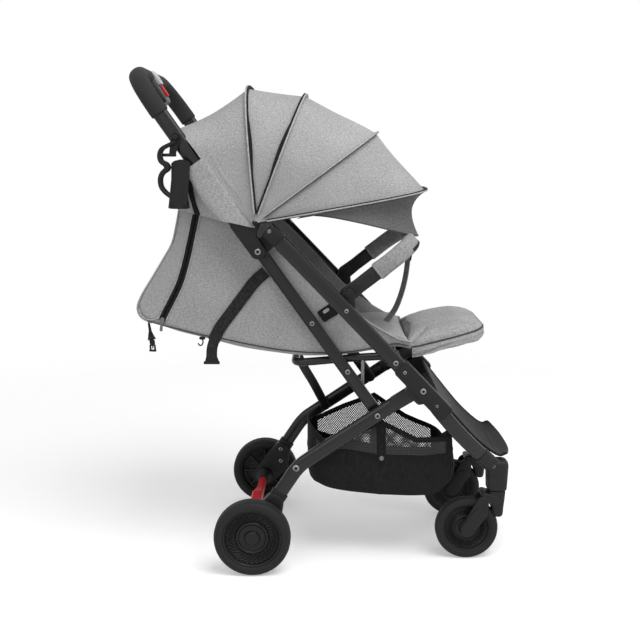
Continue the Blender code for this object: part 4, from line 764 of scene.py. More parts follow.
tyre_finish = Finish("foam_tyre", "tyre_rubber")
scuffs = tyre_finish.noise(55.0, 4.0, 0.6)
pores = tyre_finish.noise(1500.0, 2.0)
dust = tyre_finish.noise(7.0, 2.0)
tyre_rubber = tyre_finish.finished(tyre_finish.shader(Base_Color=tyre_finish.colour(scuffs * 0.55 + dust
    * 0.35, (0.005, 0.005, 0.006), (0.018, 0.017, 0.017)), Roughness=scuffs * 0.2 + 0.56,
    Specular_IOR_Level=0.25, Normal=tyre_finish.bump(pores + scuffs * 0.6, 0.0003, 0.45)))
wheel_plastic = moulded_plastic("wheel_plastic", (0.01, 0.01, 0.011), 0.32)


def tyre(radius, inner, half_width, centre):
    """A tyre turned round its axle: rounded shoulders, a shallow groove in both walls, and a
    fine groove near either edge of the tread."""
    crown = radius - inner
    wall = [(inner, half_width * 0.82), (inner + crown * 0.1, half_width * 0.93),
        (inner + crown * 0.32, half_width), (inner + crown * 0.56, half_width * 0.995),
        (inner + crown * 0.6, half_width * 0.955), (inner + crown * 0.64, half_width * 0.985),
        (inner + crown * 0.8, half_width * 0.9), (inner + crown * 0.95, half_width * 0.66),
        (radius, half_width * 0.4), (radius, half_width * 0.3), (radius - 0.0009, half_width * 0.27),
        (radius - 0.0009, half_width * 0.23), (radius, half_width * 0.2)]
    profile = softened(wall + [(r, -h) for r, h in wall[::-1]], crown * 0.05, 3)
    return revolved(profile, centre, Y_AXIS, 96, closed=True)


def finned_disc(profile, fins, start, end, swirl, relief, centre, axis, steps_per_fin=12):
    """A profile of (radius, height) turned round an axis, with curved fins between two radii.

    A fin is a raised cosine wave round the axis, sharpened by a power. It leans by swirl radians
    from the start radius to the end, and fades out smoothly at both.
    """
    profile = np.array(profile, float)
    place = run_along(profile)
    fine = np.linspace(0.0, place[-1], 64)
    fine = np.unique(np.concatenate([fine, place]))
    radius = np.interp(fine, place, profile[:, 0])
    height = np.interp(fine, place, profile[:, 1])
    steps = fins * steps_per_fin
    turn = 2 * math.pi * np.arange(steps) / steps
    share = np.clip((radius - start) / (end - start), 0.0, 1.0)
    fade = np.sin(math.pi * share) ** 0.5
    wave = 0.5 + 0.5 * np.cos(fins * (turn[None] - swirl * share[:, None] ** 0.8))
    rise = height[:, None] + relief * (wave**1.2 - 0.5) * fade[:, None]
    axis = np.asarray(axis, float)
    ring = FORWARD * np.cos(turn)[:, None] + UP * np.sin(turn)[:, None]
    points = np.asarray(centre) + radius[:, None, None] * ring + rise[..., None] * axis
    return grid_shape(points, around=True)


REAR_Y = 0.214
for side_name, side in SIDES:
    centre = world(REAR_AXLE) + side * REAR_Y * Y_AXIS
    make_piece(f"rear_tyre_{side_name}_foam", [tyre(REAR_AXLE[1], 0.0588, 0.018, centre)], tyre_rubber,
        f"rear_wheel_{side_name}", [f"rear_tyre_{side_name}"])
    face = softened([(0.0, 0.0125), (0.0125, 0.0125), (0.0145, 0.011), (0.016, 0.006), (0.0262, 0.0056),
        (0.028, 0.0084), (0.0305, 0.01), (0.0328, 0.0084), (0.0345, 0.004), (0.0535, 0.0068),
        (0.0548, 0.0118), (0.0575, 0.0138), (0.0588, 0.0135), (0.0588, -0.013), (0.056, -0.013),
        (0.054, -0.004), (0.022, -0.005), (0.013, -0.01), (0.0, -0.01)], 0.0009, 4)
    disc = finned_disc(face, 34, 0.0335, 0.0545, -1.05 * side, 0.0046, centre, Y_AXIS * side)
    web = [slab([(*REAR_AXLE, 0.004), (0.05 * math.cos(turn), REAR_AXLE[1] + 0.05 * math.sin(turn),
        0.0016)], side * (REAR_Y - 0.011), side * (REAR_Y - 0.0038), 0.0006, 24) for turn in 2 * math.pi
        * np.arange(8) / 8]
    make_piece(f"rear_hub_{side_name}_moulding", [disc, *web], wheel_plastic, f"rear_wheel_{side_name}",
        [f"rear_hub_{side_name}"], 75.0)


# Casters
# A nylon fork turns on a spindle in each housing: a block under the housing, swept-back arms on
# both sides of the wheel, and long rounded covers over the axle screws.

fork_plastic = moulded_plastic("fork_plastic", (0.012, 0.012, 0.013), 0.46)
FRONT_AXLE = (0.4397, 0.065)
FORK_RINGS = ((0.0905, 0.4985, 0.51, 0.011), (0.0925, 0.4958, 0.5125, 0.0134),
    (0.097, 0.4925, 0.5142, 0.0152), (0.115, 0.488, 0.5155, 0.0168), (0.13, 0.4836, 0.517, 0.0181),
    (0.144, 0.4812, 0.518, 0.019), (0.1468, 0.4826, 0.517, 0.018))
for side_name, side in SIDES:
    block = stacked(FORK_RINGS, side * FRONT_Y)
    spindle = revolved([(0.0, 0.0), (0.0056, 0.0), (0.0056, 0.03), (0.0, 0.03)],
        world((SWIVEL_X, side * FRONT_Y, 0.144)), UP, 20)
    shoulder = slab([(0.4935, 0.128, 0.0112), (0.4725, 0.1395, 0.006)], side * FRONT_Y - 0.0209,
        side * FRONT_Y + 0.0209, 0.0035, 64)
    arms = []
    for reach in (-1.0, 1.0):
        low = side * FRONT_Y + reach * 0.015
        high = side * FRONT_Y + reach * 0.0215
        arms.append(slab([(*FRONT_AXLE, 0.0146), (0.466, 0.102, 0.0152), (0.4702, 0.1232, 0.013)], low,
            high, 0.0022, 72))
        arms.append(slab([(*FRONT_AXLE, 0.0138), (0.4628, 0.097, 0.0143)], high - reach * 0.001,
            high + reach * 0.0022, 0.0018, 64))
    make_piece(f"caster_fork_{side_name}_moulding", [block, spindle, shoulder, *arms], fork_plastic,
        f"caster_{side_name}", [f"caster_fork_{side_name}"])
    centre = world(FRONT_AXLE) + side * FRONT_Y * Y_AXIS
    make_piece(f"front_tyre_{side_name}_foam", [tyre(FRONT_AXLE[1], 0.0493, 0.0135, centre)],
        tyre_rubber, f"front_wheel_{side_name}", [f"front_tyre_{side_name}"])
    face = softened([(0.0053, 0.011), (0.012, 0.0108), (0.0145, 0.009), (0.0165, 0.0052),
        (0.023, 0.005), (0.0245, 0.0064), (0.0262, 0.0052), (0.044, 0.005), (0.0462, 0.0086),
        (0.0493, 0.01)], 0.0008, 4)
    outer = finned_disc(face, 36, 0.0262, 0.044, -0.75 * side, 0.003, centre, Y_AXIS * side)
    inner = finned_disc(face, 36, 0.0262, 0.044, 0.75 * side, 0.002, centre, Y_AXIS * -side)
    rim = revolved([(0.0493, 0.01), (0.0493, -0.01)], centre, Y_AXIS, 72)
    make_piece(f"front_hub_{side_name}_moulding", [outer, inner, rim], wheel_plastic,
        f"front_wheel_{side_name}", [f"front_hub_{side_name}"], 75.0)


# Folding links
# Flat steel bars with rolled edges, one on each side between the slider and the rear leg. They
# pull the rear legs shut as the handle comes down.

HANDLE_PIVOT = (0.0161, 0.6473)
LINK_Y = 0.1645
for side_name, side in SIDES:
    bar_plate = slab([(*HANDLE_PIVOT, 0.0118), (*LINK_PIVOT, 0.0118)], side * (LINK_Y - 0.006),
        side * (LINK_Y + 0.006), 0.0012)
    groove = side_line(HANDLE_PIVOT, -54.54)
    rolled = [carried(groove(np.array((0.02, 0.38)), across, side * (LINK_Y + 0.0062)), 0.0011, 0.0011,
        Y_AXIS, 12, 2.0, 0.001) for across in (-0.0098, 0.0098)]
    make_piece(f"link_{side_name}_sprayed", [bar_plate, *rolled], frame_black, "links",
        [f"link_{side_name}"])
    heads = [bolt(x, z, side * (LINK_Y + 0.0058), side, radius, 0.002) for x, z, radius
        in ((0.1195, 0.5023, 0.005), (0.1902, 0.4048, 0.0054))]
    make_piece(f"link_rivets_{side_name}", heads, zinc, "links")


# Seat frame
# A round steel tube bent to a U under the seat and hung on a crossbar between the main tubes,
# with a flat bent strut to the left rear leg and a bright stay under the right rail.

RAIL_PIVOT = (0.28286, 0.43267)
RAIL_Y = 0.146
rail_half = softened(world(((RAIL_PIVOT[0] - 0.008, -RAIL_Y, 0.433), (0.2, -RAIL_Y, 0.429),
    (0.125, -RAIL_Y, 0.4215), (0.085, -RAIL_Y, 0.419), (0.085, -0.1, 0.419), (0.085, 0.0, 0.419))),
    0.034, 8)
rail = mirrored(rail_half)
collars = [slab([(*RAIL_PIVOT, 0.0125), (RAIL_PIVOT[0] - 0.02, RAIL_PIVOT[1] - 0.001, 0.0088)],
    side * 0.138, side * 0.154, 0.002, 56) for side in (-1.0, 1.0)]
make_piece("seat_frame_tube", [carried(rail, 0.008, 0.008, UP, 24), *collars], frame_black,
    "seat_frame", ["seat_frame"])
crossbar = carried([world(RAIL_PIVOT) + y * Y_AXIS for y in (-0.1965, 0.1965)], 0.008, 0.008, UP, 28,
    2.0, 0.001)
make_piece("seat_crossbar_tube", [crossbar], frame_black, "front_frame", ["seat_crossbar"])
stay = carried(world([(0.2205, -0.149, 0.43), (0.2208, -0.1495, 0.396), (0.2212, -0.15, 0.366)]),
    0.0032, 0.0032, FORWARD, 20, 2.0, 0.0012)
make_piece("seat_stay", [stay], zinc, "seat_frame")
STRUT_FOOT = (0.14513, 0.25014)
STRUT_Y = 0.164
strut_path = flowing(world(((0.081, 0.409), (0.08, 0.378), (0.093, 0.346), (0.118, 0.303), STRUT_FOOT)),
    8) + STRUT_Y * Y_AXIS
strut_foot = slab([(*STRUT_FOOT, 0.0112)], 0.1605, 0.1714, 0.0012, 48)
strut_head = slab([(0.0835, 0.417, 0.011), (0.0805, 0.403, 0.0104)], 0.1598, 0.1682, 0.0012, 48)
make_piece("seat_strut_bar", [carried(strut_path, 0.0102, 0.0036, Y_AXIS, 28, 4.0), strut_foot,
    strut_head], frame_black, "strut", ["seat_strut"])


# Basket
# A bag of black knitted polyester hung under the seat by its corners. The upper side walls are
# open net, the rim is bound with black tape, and webbing runs down to a rivet on each side.

def woven(name, slot, dark, light, fleck=2.2, yarn=0.0008, on_mesh=False, roughness=0.86):
    """Plain woven cloth: warp and weft yarns of mixed shades, each fleck a few yarns long, over
    the small hills of the weave and a slow unevenness of the dye."""
    cloth = Finish(name, slot)
    place = cloth.place() if on_mesh else cloth.cloth_place()
    warp = cloth.noise(0.42 / yarn, 2.0, 0.6, place, (1.0, 0.35, 0.35))
    weft = cloth.noise(0.42 / yarn, 2.0, 0.6, place, (0.35, 1.0, 1.0))
    slow = cloth.noise(13.0, 3.0)
    u, v, w = cloth.parts(place)
    turn = 2 * math.pi / yarn
    hills = (u * turn + w * turn).sine() * (v * turn + w * (0.5 * turn)).sine()
    share = (warp + weft - 1.0) * fleck + (slow - 0.5) * 0.5 + 0.5
    return cloth.finished(cloth.shader(Base_Color=cloth.colour(share, dark, light), Roughness=roughness,
        Specular_IOR_Level=0.2, Normal=cloth.bump(hills * 0.5 + (warp - weft) * 1.4, 0.0004, 0.55)))


def net_finish(name, colour, pitch=0.005, cord=0.6):
    """Warp-knitted net: cords along both diagonals, and holes between them."""
    net = Finish(name, "black_fabric")
    x, y, z = net.parts(net.place())
    turn = math.pi / pitch
    first = ((x + y * 0.8 + z * 0.8) * turn).sine().size()
    second = ((x - y * 0.8 - z * 0.8) * turn).sine().size()
    cords = first.least(second)
    solid = cords < cord
    shade = net.noise(700.0, 2.0)
    base = net.shades(shade, colour, 0.7, 1.4)
    return net.finished(net.shader(Base_Color=base, Roughness=0.8, Alpha=solid,
        Normal=net.bump(cords, 0.0008, 0.6)))


def tape(path, width, thickness, facing, loop=False, sides=16):
    """A flat ribbon along a path, whose face looks in the facing direction."""
    return carried(path, width / 2, thickness / 2, facing, sides, 5.0, loop=loop)


def cloth_sheet(piece, held, rests_on, *grids):
    """Works out the cloth cut flat from the grids, and keeps nothing of it: the longest row, the
    length that holds them all, and the sum of the areas of their quads."""
    width = max(np.linalg.norm(np.diff(grid, axis=1), axis=2).sum(1).max() for grid in grids)
    length = max(np.linalg.norm(np.diff(grid, axis=0), axis=2).sum(0).max() for grid in grids)
    area = sum(np.linalg.norm(np.cross(grid[1:, 1:] - grid[:-1, :-1], grid[1:, :-1] - grid[:-1, 1:]),
        axis=2).sum() / 2 for grid in grids)
    length = max(length, area / width)


def ripple(u, v, seed, pitch=14.0):
    """Slow unevenness from about -1 to 1: six cosines at set angles, each finer than the last."""
    total = 0.0
    for number in range(6):
        angle = seed + 2.4 * number
        wave = pitch * 1.5**number
        total = total + np.cos(wave * (u * math.cos(angle) + v * math.sin(angle)) + 1.7 * seed
            * number) / (1 + 0.5 * number)
    return total / 2.6


basket_cloth = woven("basket_cloth", "black_fabric", (0.004, 0.004, 0.004), (0.013, 0.013, 0.014), 1.6,
    0.0014)
basket_net = net_finish("basket_net", (0.04, 0.04, 0.041))
black_tape = woven("black_tape", "black_fabric", (0.003, 0.003, 0.003), (0.014, 0.014, 0.015), 2.0,
    0.0012, True)
BASKET_MIDDLE = 0.282
BASKET_HALF_Y = 0.149
REAR_WALL = ((0.14, 0.131), (0.143, 0.119), (0.15, 0.113), (0.17, 0.1095), (0.26, 0.1085))
FRONT_WALL = ((0.14, 0.385), (0.15, 0.396), (0.16, 0.4053), (0.175, 0.414), (0.2, 0.4155),
    (0.26, 0.409))
NEAR_RIM = ((0.106, 0.296), (0.118, 0.28), (0.141, 0.256), (0.19, 0.266), (0.248, 0.2965),
    (0.2625, 0.296), (0.28, 0.282), (0.2974, 0.2675), (0.328, 0.2595), (0.37, 0.26), (0.414, 0.2615))
FAR_RIM = ((0.11, 0.226), (0.13, 0.226), (0.1912, 0.254), (0.249, 0.285), (0.275, 0.27),
    (0.3199, 0.234), (0.36, 0.216), (0.414, 0.196))
NET_FOOT = ((0.11, 0.236), (0.145, 0.238), (0.194, 0.237), (0.267, 0.2255), (0.345, 0.224),
    (0.414, 0.23))
FAR_FOOT = ((0.11, 0.2), (0.145, 0.185), (0.26, 0.156), (0.345, 0.15), (0.414, 0.154))


def along_line(points, x):
    points = np.array(points)
    return np.interp(x, points[:, 0], points[:, 1])


BAG_COLUMNS = 144
turn = 2 * math.pi * np.arange(BAG_COLUMNS + 1) / BAG_COLUMNS - 0.75 * math.pi
plan_x = powered(np.cos(turn), 0.24)
plan_y = powered(np.sin(turn), 0.24)
FLOOR_ROWS = 14
WALL_ROWS = 16
NET_ROWS = 10
rows = []
for row in range(WALL_ROWS + NET_ROWS + 1):
    rise = min(row / WALL_ROWS, 1.0)
    spread = max(row - WALL_ROWS, 0) / NET_ROWS
    height = 0.14 + 0.1 * rise + 0.02 * spread
    low_x = along_line(REAR_WALL, height)
    high_x = along_line(FRONT_WALL, height)
    x = (low_x + high_x) / 2 + (high_x - low_x) / 2 * plan_x
    half = BASKET_HALF_Y - 0.006 * (1 - rise) ** 4
    y = half * plan_y
    floor = 0.1395 + 0.0145 * ((x - 0.32) / 0.16) ** 2
    near = (0.5 - 0.5 * np.tanh(y / 0.06))
    foot = near * along_line(NET_FOOT, x) + (1 - near) * along_line(FAR_FOOT, x)
    top = near * along_line(NEAR_RIM, x) + (1 - near) * along_line(FAR_RIM, x)
    z = floor + (foot - floor) * rise + (top - foot) * spread
    sag = 0.004 * ripple(x * 3, z * 3 + y, 1.3) * math.sin(math.pi * rise) ** 0.5
    y = y * (1 - np.abs(sag) / 0.15)
    rows.append(xyz(x - X_CENTRE, y, z))
walls = np.stack(rows)
floor_rows = []
for row in range(FLOOR_ROWS):
    share = 0.02 + 0.98 * row / FLOOR_ROWS
    ring = walls[0].copy()
    ring[:, 0] = BASKET_MIDDLE - X_CENTRE + (ring[:, 0] - BASKET_MIDDLE + X_CENTRE) * share
    ring[:, 1] *= share
    ring[:, 2] = 0.1385 + (walls[0, :, 2] - 0.1385) * share**2 + 0.0015 * ripple(ring[:, 0] * 3,
        ring[:, 1] * 3, 0.7)
    floor_rows.append(ring)
bag = np.concatenate([np.stack(floor_rows), walls[:WALL_ROWS + 1]])
upper = walls[WALL_ROWS:]
side_like = np.abs(plan_y) > 0.93
near_columns = np.nonzero(side_like & (plan_y < 0) & (np.abs(plan_x) < 0.97))[0]
far_columns = np.nonzero(side_like & (plan_y > 0) & (np.abs(plan_x) < 0.97))[0]
front_columns = np.arange(near_columns[-1], far_columns[0] + 1)
rear_columns = np.concatenate([np.arange(far_columns[-1], BAG_COLUMNS),
    np.arange(0, near_columns[0] + 1)])
side_grids = [upper[:, near_columns], upper[:, far_columns]]
end_grids = [upper[:, front_columns], upper[:, rear_columns]]
basket = make_piece("basket_bag", [thick_sheet(bag, 0.0014),
    *(thick_sheet(grid, 0.0014) for grid in end_grids)], basket_cloth, "front_frame", ["basket"],
    limp=True)
net = make_piece("basket_net", [thick_sheet(grid, 0.0008) for grid in side_grids], basket_net,
    "front_frame", limp=True)


def ring_facing(row):
    """Level outward directions along one closed row of the bag."""
    return unit(np.cross(np.roll(row, -1, axis=0) - np.roll(row, 1, axis=0), UP))


rim_row = walls[-1, :-1]
seam_row = walls[WALL_ROWS, :-1]
binding = [tape(rim_row, 0.011, 0.003, ring_facing(rim_row), loop=True), tape(seam_row, 0.005, 0.0032,
    ring_facing(seam_row), loop=True)]
for column in (near_columns[0], near_columns[-1], far_columns[0], far_columns[-1]):
    binding.append(tape(upper[:, column], 0.008, 0.0028, ring_facing(rim_row)[column % BAG_COLUMNS]))
for column in (near_columns[-1] + 2, near_columns[-1] + 6):
    binding.append(carried(walls[:, column] * (1.0, 1.004, 1.0), 0.0015, 0.0015, Y_AXIS, 10))
make_piece("basket_binding", binding, black_tape, "front_frame", limp=True)
STRAP_X = 0.268
strap_columns = [columns[np.abs(upper[-1, columns, 0] + X_CENTRE - STRAP_X).argmin()] for columns
    in (near_columns, far_columns)]
webs = []
rivets = []
for column, side in zip(strap_columns, (-1.0, 1.0)):
    hang = walls[WALL_ROWS - 3:, column].copy()
    hang[:, 1] += side * 0.0018
    webs.append(tape(flowing(hang, 2), 0.018, 0.0016, Y_AXIS))
    rivets.append(revolved(softened([(0.0, 0.0022), (0.0032, 0.0022), (0.0052, 0.0008),
        (0.0052, -0.001), (0.0, -0.001)], 0.0008, 3), hang[2] + (0.0, side * 0.001, 0.0), Y_AXIS * side,
        20))
make_piece("basket_straps", webs, black_tape, "front_frame", limp=True)
make_piece("basket_rivets", rivets, dark_bolt, "front_frame", limp=True)
cloth_sheet(basket, "hung", [], bag, *end_grids)
cloth_sheet(net, "hung", [basket], *side_grids)


# Seat shell
# Grey melange cloth sewn to a deep tub and hung between the side tubes. A black zip on each side
# parts the back gusset, and piping runs along the top and bottom edges.

MELANGE = ((0.215, 0.215, 0.217), (0.455, 0.455, 0.459))
melange = woven("grey_melange", "melange_fabric", *MELANGE, 1.7)
melange_pad = woven("grey_melange_pad", "melange_fabric", *MELANGE, 1.7, on_mesh=True)
piping_grey = woven("piping_grey", "melange_fabric", (0.24, 0.24, 0.242), (0.5, 0.5, 0.504), 1.5,
    on_mesh=True)
piping_dark = woven("piping_dark", "melange_fabric", (0.03, 0.03, 0.031), (0.09, 0.09, 0.092), 1.6,
    on_mesh=True)
SEAT_HALF_Y = 0.153
SEAT_BACK = ((-0.14, 0.73), (-0.1462, 0.698), (-0.156, 0.66), (-0.1735, 0.629), (-0.1965, 0.592),
    (-0.22, 0.554), (-0.2282, 0.53), (-0.221, 0.511), (-0.2, 0.5), (-0.17, 0.49), (-0.138, 0.48),
    (-0.082, 0.4665), (-0.02, 0.4505), (0.05, 0.4395), (0.11, 0.4335), (0.18, 0.436), (0.24, 0.445),
    (0.288, 0.453), (0.317, 0.449))
SEAT_TOP = ((-0.138, 0.731), (-0.11, 0.731), (-0.08, 0.73), (-0.04, 0.724), (0.0, 0.714), (0.03, 0.698),
    (0.05, 0.683), (0.09, 0.643), (0.125, 0.605), (0.165, 0.562), (0.2, 0.527), (0.23, 0.504),
    (0.26, 0.485), (0.29, 0.469), (0.317, 0.462))


def evenly(points, count):
    """A curve through the points, cut into equal lengths."""
    curve = flowing(points, 12)
    run = run_along(curve)
    places = np.linspace(0.0, run[-1], count)
    return np.stack([np.interp(places, run, curve[:, n]) for n in range(curve.shape[1])], -1)


SEAT_ROWS = 110
back = evenly(SEAT_BACK, SEAT_ROWS)
top = evenly(SEAT_TOP, SEAT_ROWS)
inward = unit(top - back + (1e-6, 1e-6))
corner_radius = np.minimum(0.014, np.linalg.norm(top - back, axis=1) * 0.45)[:, None]
climb = np.linspace(1.0, 0.0, 26)
bend = np.linspace(0.0, math.pi / 2, 7)[1:]
flat = np.linspace(-1.0, 1.0, 45)[1:-1]
lines = []
for share in climb:
    start = back + inward * corner_radius
    plan = start + (top - start) * share
    lines.append(world(plan) - SEAT_HALF_Y * Y_AXIS)
for angle in bend:
    plan = back + inward * corner_radius * (1 - math.sin(angle))
    y = -SEAT_HALF_Y + corner_radius * (1 - math.cos(angle))
    lines.append(world(plan) + y * Y_AXIS)
for across in flat:
    lines.append(world(back) + (SEAT_HALF_Y - corner_radius) * across * Y_AXIS)
half_count = len(climb) + len(bend)
for line in lines[:half_count][::-1]:
    lines.append(line * (1.0, -1.0, 1.0))
tub = np.stack(lines, 1)
wall = np.clip((np.abs(tub[..., 1]) - 0.15) / 0.003, 0.0, 1.0)
hollow = 0.0016 + 0.003 * ripple(tub[..., 0], tub[..., 2], 2.1, 11.0) ** 2
creases = 0.0012 * np.cos(130 * (tub[..., 0] * 0.55 + tub[..., 2]) + 3
    * ripple(tub[..., 0], tub[..., 2], 0.4, 8.0)) * np.clip((0.52 - tub[..., 2]) / 0.05, 0.0, 1.0)
tub[..., 1] -= np.sign(tub[..., 1]) * wall * (hollow + creases.clip(0.0))
shell = make_piece("seat_tub", [thick_sheet(tub, 0.0022)], melange, "front_frame", ["seat_shell"],
    limp=True)
cloth_sheet(shell, "hung", ["front_tube_right_sprayed"], tub)


def on_wall(points, side, lift, count):
    """A curve over a side wall of the tub through the points of the side view."""
    return world(evenly(points, count)) + side * (SEAT_HALF_Y + lift) * Y_AXIS


ZIP_LINE = ((-0.104, 0.729), (-0.1115, 0.695), (-0.1205, 0.656), (-0.129, 0.622), (-0.142, 0.581),
    (-0.1585, 0.547), (-0.174, 0.518), (-0.179, 0.506))
GUSSET_LINE = ((-0.18, 0.524), (-0.185, 0.514), (-0.196, 0.507), (-0.209, 0.508), (-0.22, 0.516),
    (-0.225, 0.529))
HEM_LINE = ((-0.208, 0.5045), (-0.184, 0.4975), (-0.144, 0.487), (-0.113, 0.479), (-0.0885, 0.474),
    (-0.064, 0.47), (-0.005, 0.457), (0.065, 0.445), (0.135, 0.44), (0.19, 0.442), (0.245, 0.452),
    (0.286, 0.459), (0.312, 0.455))
zips = []
zip_edges = []
teeth = []
pullers = []
edges = []
hems = []
for side in (-1.0, 1.0):
    line = on_wall(ZIP_LINE, side, 0.0006, 60)
    across = beside(line, Y_AXIS)
    zips.append(tape(line, 0.014, 0.0016, Y_AXIS))
    for shift in (-0.008, 0.008):
        zip_edges.append(carried(line + across * shift, 0.0014, 0.0015, Y_AXIS, 10))
    fine = on_wall(ZIP_LINE, side, 0.0014, 420)
    swing = np.where(np.arange(420) % 2 == 0, 1.0, -1.0)[:, None] * 0.0011
    teeth.append(carried(fine + beside(fine, Y_AXIS) * swing, 0.0009, 0.0008, Y_AXIS, 6))
    foot = line[-1] + Y_AXIS * side * 0.0016
    pullers.append(slab([(foot[0] + X_CENTRE + 0.001, foot[2] + 0.002, 0.0042),
        (foot[0] + X_CENTRE - 0.0005, foot[2] - 0.006, 0.003)], foot[1], foot[1] + side * 0.0026, 0.001,
        32))
    pullers.append(slab([(foot[0] + X_CENTRE - 0.001, foot[2] - 0.009, 0.0026),
        (foot[0] + X_CENTRE - 0.002, foot[2] - 0.019, 0.0031)], foot[1] + side * 0.0008, foot[1] + side
        * 0.0026, 0.0008, 32))
    edges.append(carried(on_wall(SEAT_BACK[:9], side, -0.001, 70), 0.0015, 0.0018, Y_AXIS, 10))
    edges.append(carried(on_wall(SEAT_TOP[1:], side, -0.0008, 90), 0.0017, 0.002, Y_AXIS, 12))
    edges.append(carried(on_wall(GUSSET_LINE, side, 0.0006, 30), 0.0014, 0.0012, Y_AXIS, 10))
    hems.append(carried(on_wall(HEM_LINE, side, 0.0004, 110), 0.0013, 0.0013, Y_AXIS, 10))
make_piece("seat_zip_tape", zips, black_tape, "front_frame", limp=True)
make_piece("seat_zip_coil", teeth, dark_bolt, "front_frame", limp=True)
make_piece("seat_zip_puller", pullers, dark_bolt, "front_frame", limp=True)
make_piece("seat_piping", [*edges, *zip_edges], piping_grey, "front_frame", limp=True)
make_piece("seat_hem_cord", hems, piping_dark, "front_frame", limp=True)
clip_plastic = moulded_plastic("clip_plastic", (0.006, 0.006, 0.007), 0.4)
hook = flowing(world([(-0.1, 0.47), (-0.0985, 0.462), (-0.101, 0.456), (-0.106, 0.456),
    (-0.108, 0.46)]), 6) - 0.1545 * Y_AXIS
make_piece("seat_hook", [carried(hook, 0.0014, 0.0016, Y_AXIS, 12, rounded=0.001),
    slab([(-0.0965, 0.47, 0.003), (-0.103, 0.47, 0.003)], -0.153, -0.156, 0.0008, 32)], clip_plastic,
    "front_frame", limp=True)


# Seat pad and backrest
# The padded cushion that the child sits on, and the reclining back behind it: melange covers
# sewn round foam, with a channel stitched across.

def pillow(outline, half_y, edge, corner=0.0, hinge=0.0, count=150, rows=9):
    """A closed pad in the side view. Its outline is pulled in by a quarter circle at both side
    faces, and towards the sides its far end is drawn back round the plan's corners."""
    closed = np.array(list(outline) + list(outline[:1]), float)
    curve = evenly(closed, count + 1)[:-1]
    slope = np.roll(curve, -1, axis=0) - np.roll(curve, 1, axis=0)
    area = np.sum(curve[:, 0] * np.roll(curve[:, 1], -1) - np.roll(curve[:, 0], -1) * curve[:, 1])
    normal = unit(np.stack([slope[:, 1], -slope[:, 0]], -1)) * np.sign(area)
    bend = np.linspace(0.0, math.pi / 2, rows)
    y = np.concatenate([-half_y + edge * (1 - np.cos(bend)),
        np.linspace(-half_y + edge, half_y - edge, 60)[1:-1], half_y - edge
        * (1 - np.cos(bend[::-1]))])[:, None]
    inset = edge * (1 - np.sin(bend))
    inset = np.concatenate([inset, np.zeros(58), inset[::-1]])[:, None]
    plan = curve[None] - normal[None] * inset[..., None]
    if corner:
        over = np.clip((np.abs(y) - half_y + corner) / corner, 0.0, 0.999)
        back_by = corner * (1 - np.sqrt(1 - over**2))
        length = np.abs(closed[:, 0] - hinge).max()
        reach = np.clip(np.abs(plan[..., 0] - hinge) / length, 0.0, 1.0)
        shift = back_by * reach**2
        tip = closed[np.abs(closed[:, 0] - hinge).argmax()]
        base = np.array((hinge, closed[:, 1].mean()))
        aim = unit(tip - base)
        plan = plan - aim * shift[..., None]
    return grid_shape(world(plan) + y[..., None] * Y_AXIS, around=True, capped=True)


def vertex_rows(mesh, kind):
    """The co or the normal of all points of a mesh, one row each."""
    values = np.empty(len(mesh.vertices) * 3)
    mesh.vertices.foreach_get(kind, values)
    return values.reshape(-1, 3)


def nearest(points, line):
    """The distance from each point to the closest point of a line, 1 m at most."""
    gap = np.full(len(points), 1.0)
    for part in np.array_split(line, max(len(line) // 32, 1)):
        gap = np.minimum(gap, np.linalg.norm(points[:, None] - part[None], axis=2).min(1))
    return gap


def settle(pad):
    """Gives a pad the mesh that its modifiers make, in place of them."""
    made = pad.evaluated_get(bpy.context.evaluated_depsgraph_get())
    pad.data = bpy.data.meshes.new_from_object(made)
    pad.modifiers.clear()


def swollen(name, shape, held_lines, reach, voxel=0.005, pressure=4.0, grip=0.006):
    """A pad whose cover is blown out by the pressure of a cloth simulation.

    The shape is remeshed to even quads, points within the grip of a held line (a seam) stay
    where they are, and no other point moves further than the reach. A point's own way is kept
    and only its length is cut.
    """
    mesh = bpy.data.meshes.new(name)
    mesh.from_pydata(shape[0].tolist(), [], shape[1])
    body = bmesh.new()
    body.from_mesh(mesh)
    bmesh.ops.recalc_face_normals(body, faces=body.faces)
    body.to_mesh(mesh)
    body.free()
    pad = stand(name, mesh)
    even = pad.modifiers.new("even", "REMESH")
    even.mode = "VOXEL"
    even.voxel_size = voxel
    settle(pad)
    rest = vertex_rows(pad.data, "co")
    seam = pad.vertex_groups.new(name="seam")
    held = nearest(rest, np.concatenate(held_lines)) < grip
    seam.add(np.nonzero(held)[0].tolist(), 1.0, "REPLACE")
    cloth = pad.modifiers.new("cloth", "CLOTH")
    cloth.settings.use_pressure = True
    cloth.settings.uniform_pressure_force = pressure
    cloth.settings.mass = 0.3
    cloth.settings.quality = 6
    cloth.settings.tension_stiffness = 12.0
    cloth.settings.compression_stiffness = 12.0
    cloth.settings.bending_stiffness = 0.4
    cloth.settings.vertex_group_mass = "seam"
    cloth.settings.effector_weights.gravity = 0.0
    cloth.point_cache.frame_start = 1
    cloth.point_cache.frame_end = 20
    for number in range(1, 21):
        bpy.context.scene.frame_set(number)
    moved = pad.evaluated_get(bpy.context.evaluated_depsgraph_get())
    move = vertex_rows(moved.data, "co") - rest
    length = np.linalg.norm(move, axis=1, keepdims=True)
    move *= np.minimum(1.0, reach / np.maximum(length, 1e-9))
    pad.modifiers.clear()
    bpy.context.scene.frame_set(1)
    rest = rest + move
    pad.data.vertices.foreach_set("co", rest.ravel())
    smooth = pad.modifiers.new("finer", "SUBSURF")
    smooth.levels = 1
    smooth.render_levels = 1
    settle(pad)
    pad.data.shade_smooth()
    return pad


